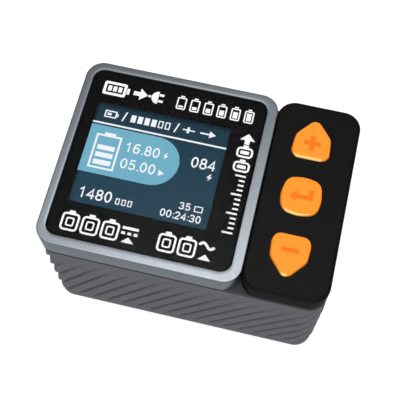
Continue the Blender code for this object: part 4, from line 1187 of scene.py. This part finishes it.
# ---------------------------------------------------------------- studio
def make_floor():
    """White paper with a glow of its own: clear from below, and not seen in reflections."""
    made, tree, shader = new_material("floor_paper")
    inputs = {
        "Base Color": shaded(tree, (0.5, 0.5, 0.5), spread(tree, noise(tree, 8.0), 0.99, 1.01)),
        "Roughness": 0.9,
        "Emission Color": (1, 1, 1),
        "Emission Strength": FLOOR_GLOW,
    }
    set_inputs(tree, shader, inputs)
    clear = add_node(tree, "BsdfTransparent").outputs[0]
    mixed = mix_shader(tree, surface_data(tree, "Backfacing"), shader.outputs[0], clear)
    set_inputs(tree, tree.nodes["Material Output"], {"Surface": mixed})

    corners = [(x, y, 0) for x, y in bar(-FLOOR_REACH, -FLOOR_REACH, FLOOR_REACH, FLOOR_REACH)]
    mesh = bpy.data.meshes.new("floor")
    mesh.from_pydata(corners, [], [(0, 1, 2, 3)])
    mesh.materials.append(made)
    floor = add_object("floor", mesh)
    floor.visible_glossy = False


def background(tree, colour, strength):
    inputs = {"Color": colour, "Strength": strength}
    return add_node(tree, "Background", inputs).outputs["Background"]


def glow_towards(tree, direction, start, full, low, high):
    """A strength from low to high, as the cosine to a direction goes from start to full."""
    where = add_node(tree, "TexCoord").outputs["Generated"]
    near = dot(tree, where, Vector(direction).normalized())
    return map_range(tree, near, start, full, low, high, "SMOOTHSTEP")


def make_world():
    """Even white light. Reflections see a disc overhead, a glow in front and a dim sky instead."""
    world = bpy.data.worlds.new("studio")
    bpy.context.scene.world = world
    world.use_nodes = True
    tree = world.node_tree
    tree.nodes.clear()

    disc = glow_towards(tree, (-0.037, 0.165, 0.986), 0.948, 1.035, 0.0, 10.6)
    front = glow_towards(tree, (0.1, -0.88, 0.46), 0.75, 1.0, 0.0, 1.5)
    dim = glow_towards(tree, (0, 0, 1), -0.1, 0.3, 0.52, 0.11)
    sky = background(tree, (1.0, 0.985, 0.96), disc)
    for colour, strength in (((1.0, 1.03, 1.06), front), ((1.0, 1.05, 1.10), dim)):
        part = background(tree, colour, strength)
        sky = add_node(tree, "AddShader", {0: sky, 1: part}).outputs["Shader"]

    rays = add_node(tree, "LightPath")
    even = background(tree, (1, 1, 1), EVEN_LIGHT)
    seen = background(tree, (1, 1, 1), SHOWN_WHITE)
    mixed = mix_shader(tree, rays.outputs["Is Glossy Ray"], even, sky)
    shown = mix_shader(tree, rays.outputs["Is Camera Ray"], mixed, seen)
    add_node(tree, "OutputWorld", {"Surface": shown})


def make_front_fill():
    """A soft light from the front that leaves no reflection."""
    light = bpy.data.lights.new("front_fill", "AREA")
    light.shape = "RECTANGLE"
    light.size, light.size_y = FILL_SIZE
    light.energy = FILL_POWER
    made = add_object("front_fill", light)
    made.location = FILL_PLACE
    towards = Vector(FILL_TARGET) - Vector(FILL_PLACE)
    made.rotation_euler = towards.to_track_quat("-Z", "Y").to_euler()
    made.visible_glossy = False


def make_camera():
    """The camera looks down on the front, a little from the right."""
    camera = bpy.data.cameras.new("camera")
    camera.lens = CAMERA_LENS
    camera.sensor_width = 36.0
    camera.clip_start = 0.01
    made = add_object("camera", camera)
    turn = (
        Matrix.Rotation(CAMERA_AZIMUTH, 4, "Z")
        @ Matrix.Rotation(math.pi / 2 - CAMERA_ELEVATION, 4, "X")
        @ Matrix.Rotation(CAMERA_ROLL, 4, "Z")
    )
    made.matrix_world = Matrix.Translation(CAMERA_PLACE) @ turn
    bpy.context.scene.camera = made


finish_cad_nodes()
make_case()
make_bezel()
make_window()
make_keypad_cover()
for key in KEYS:
    make_key(key)
make_display()
make_window_print()
make_floor()
make_world()
make_front_fill()
make_camera()
bpy.context.scene.view_settings.view_transform = "Standard"
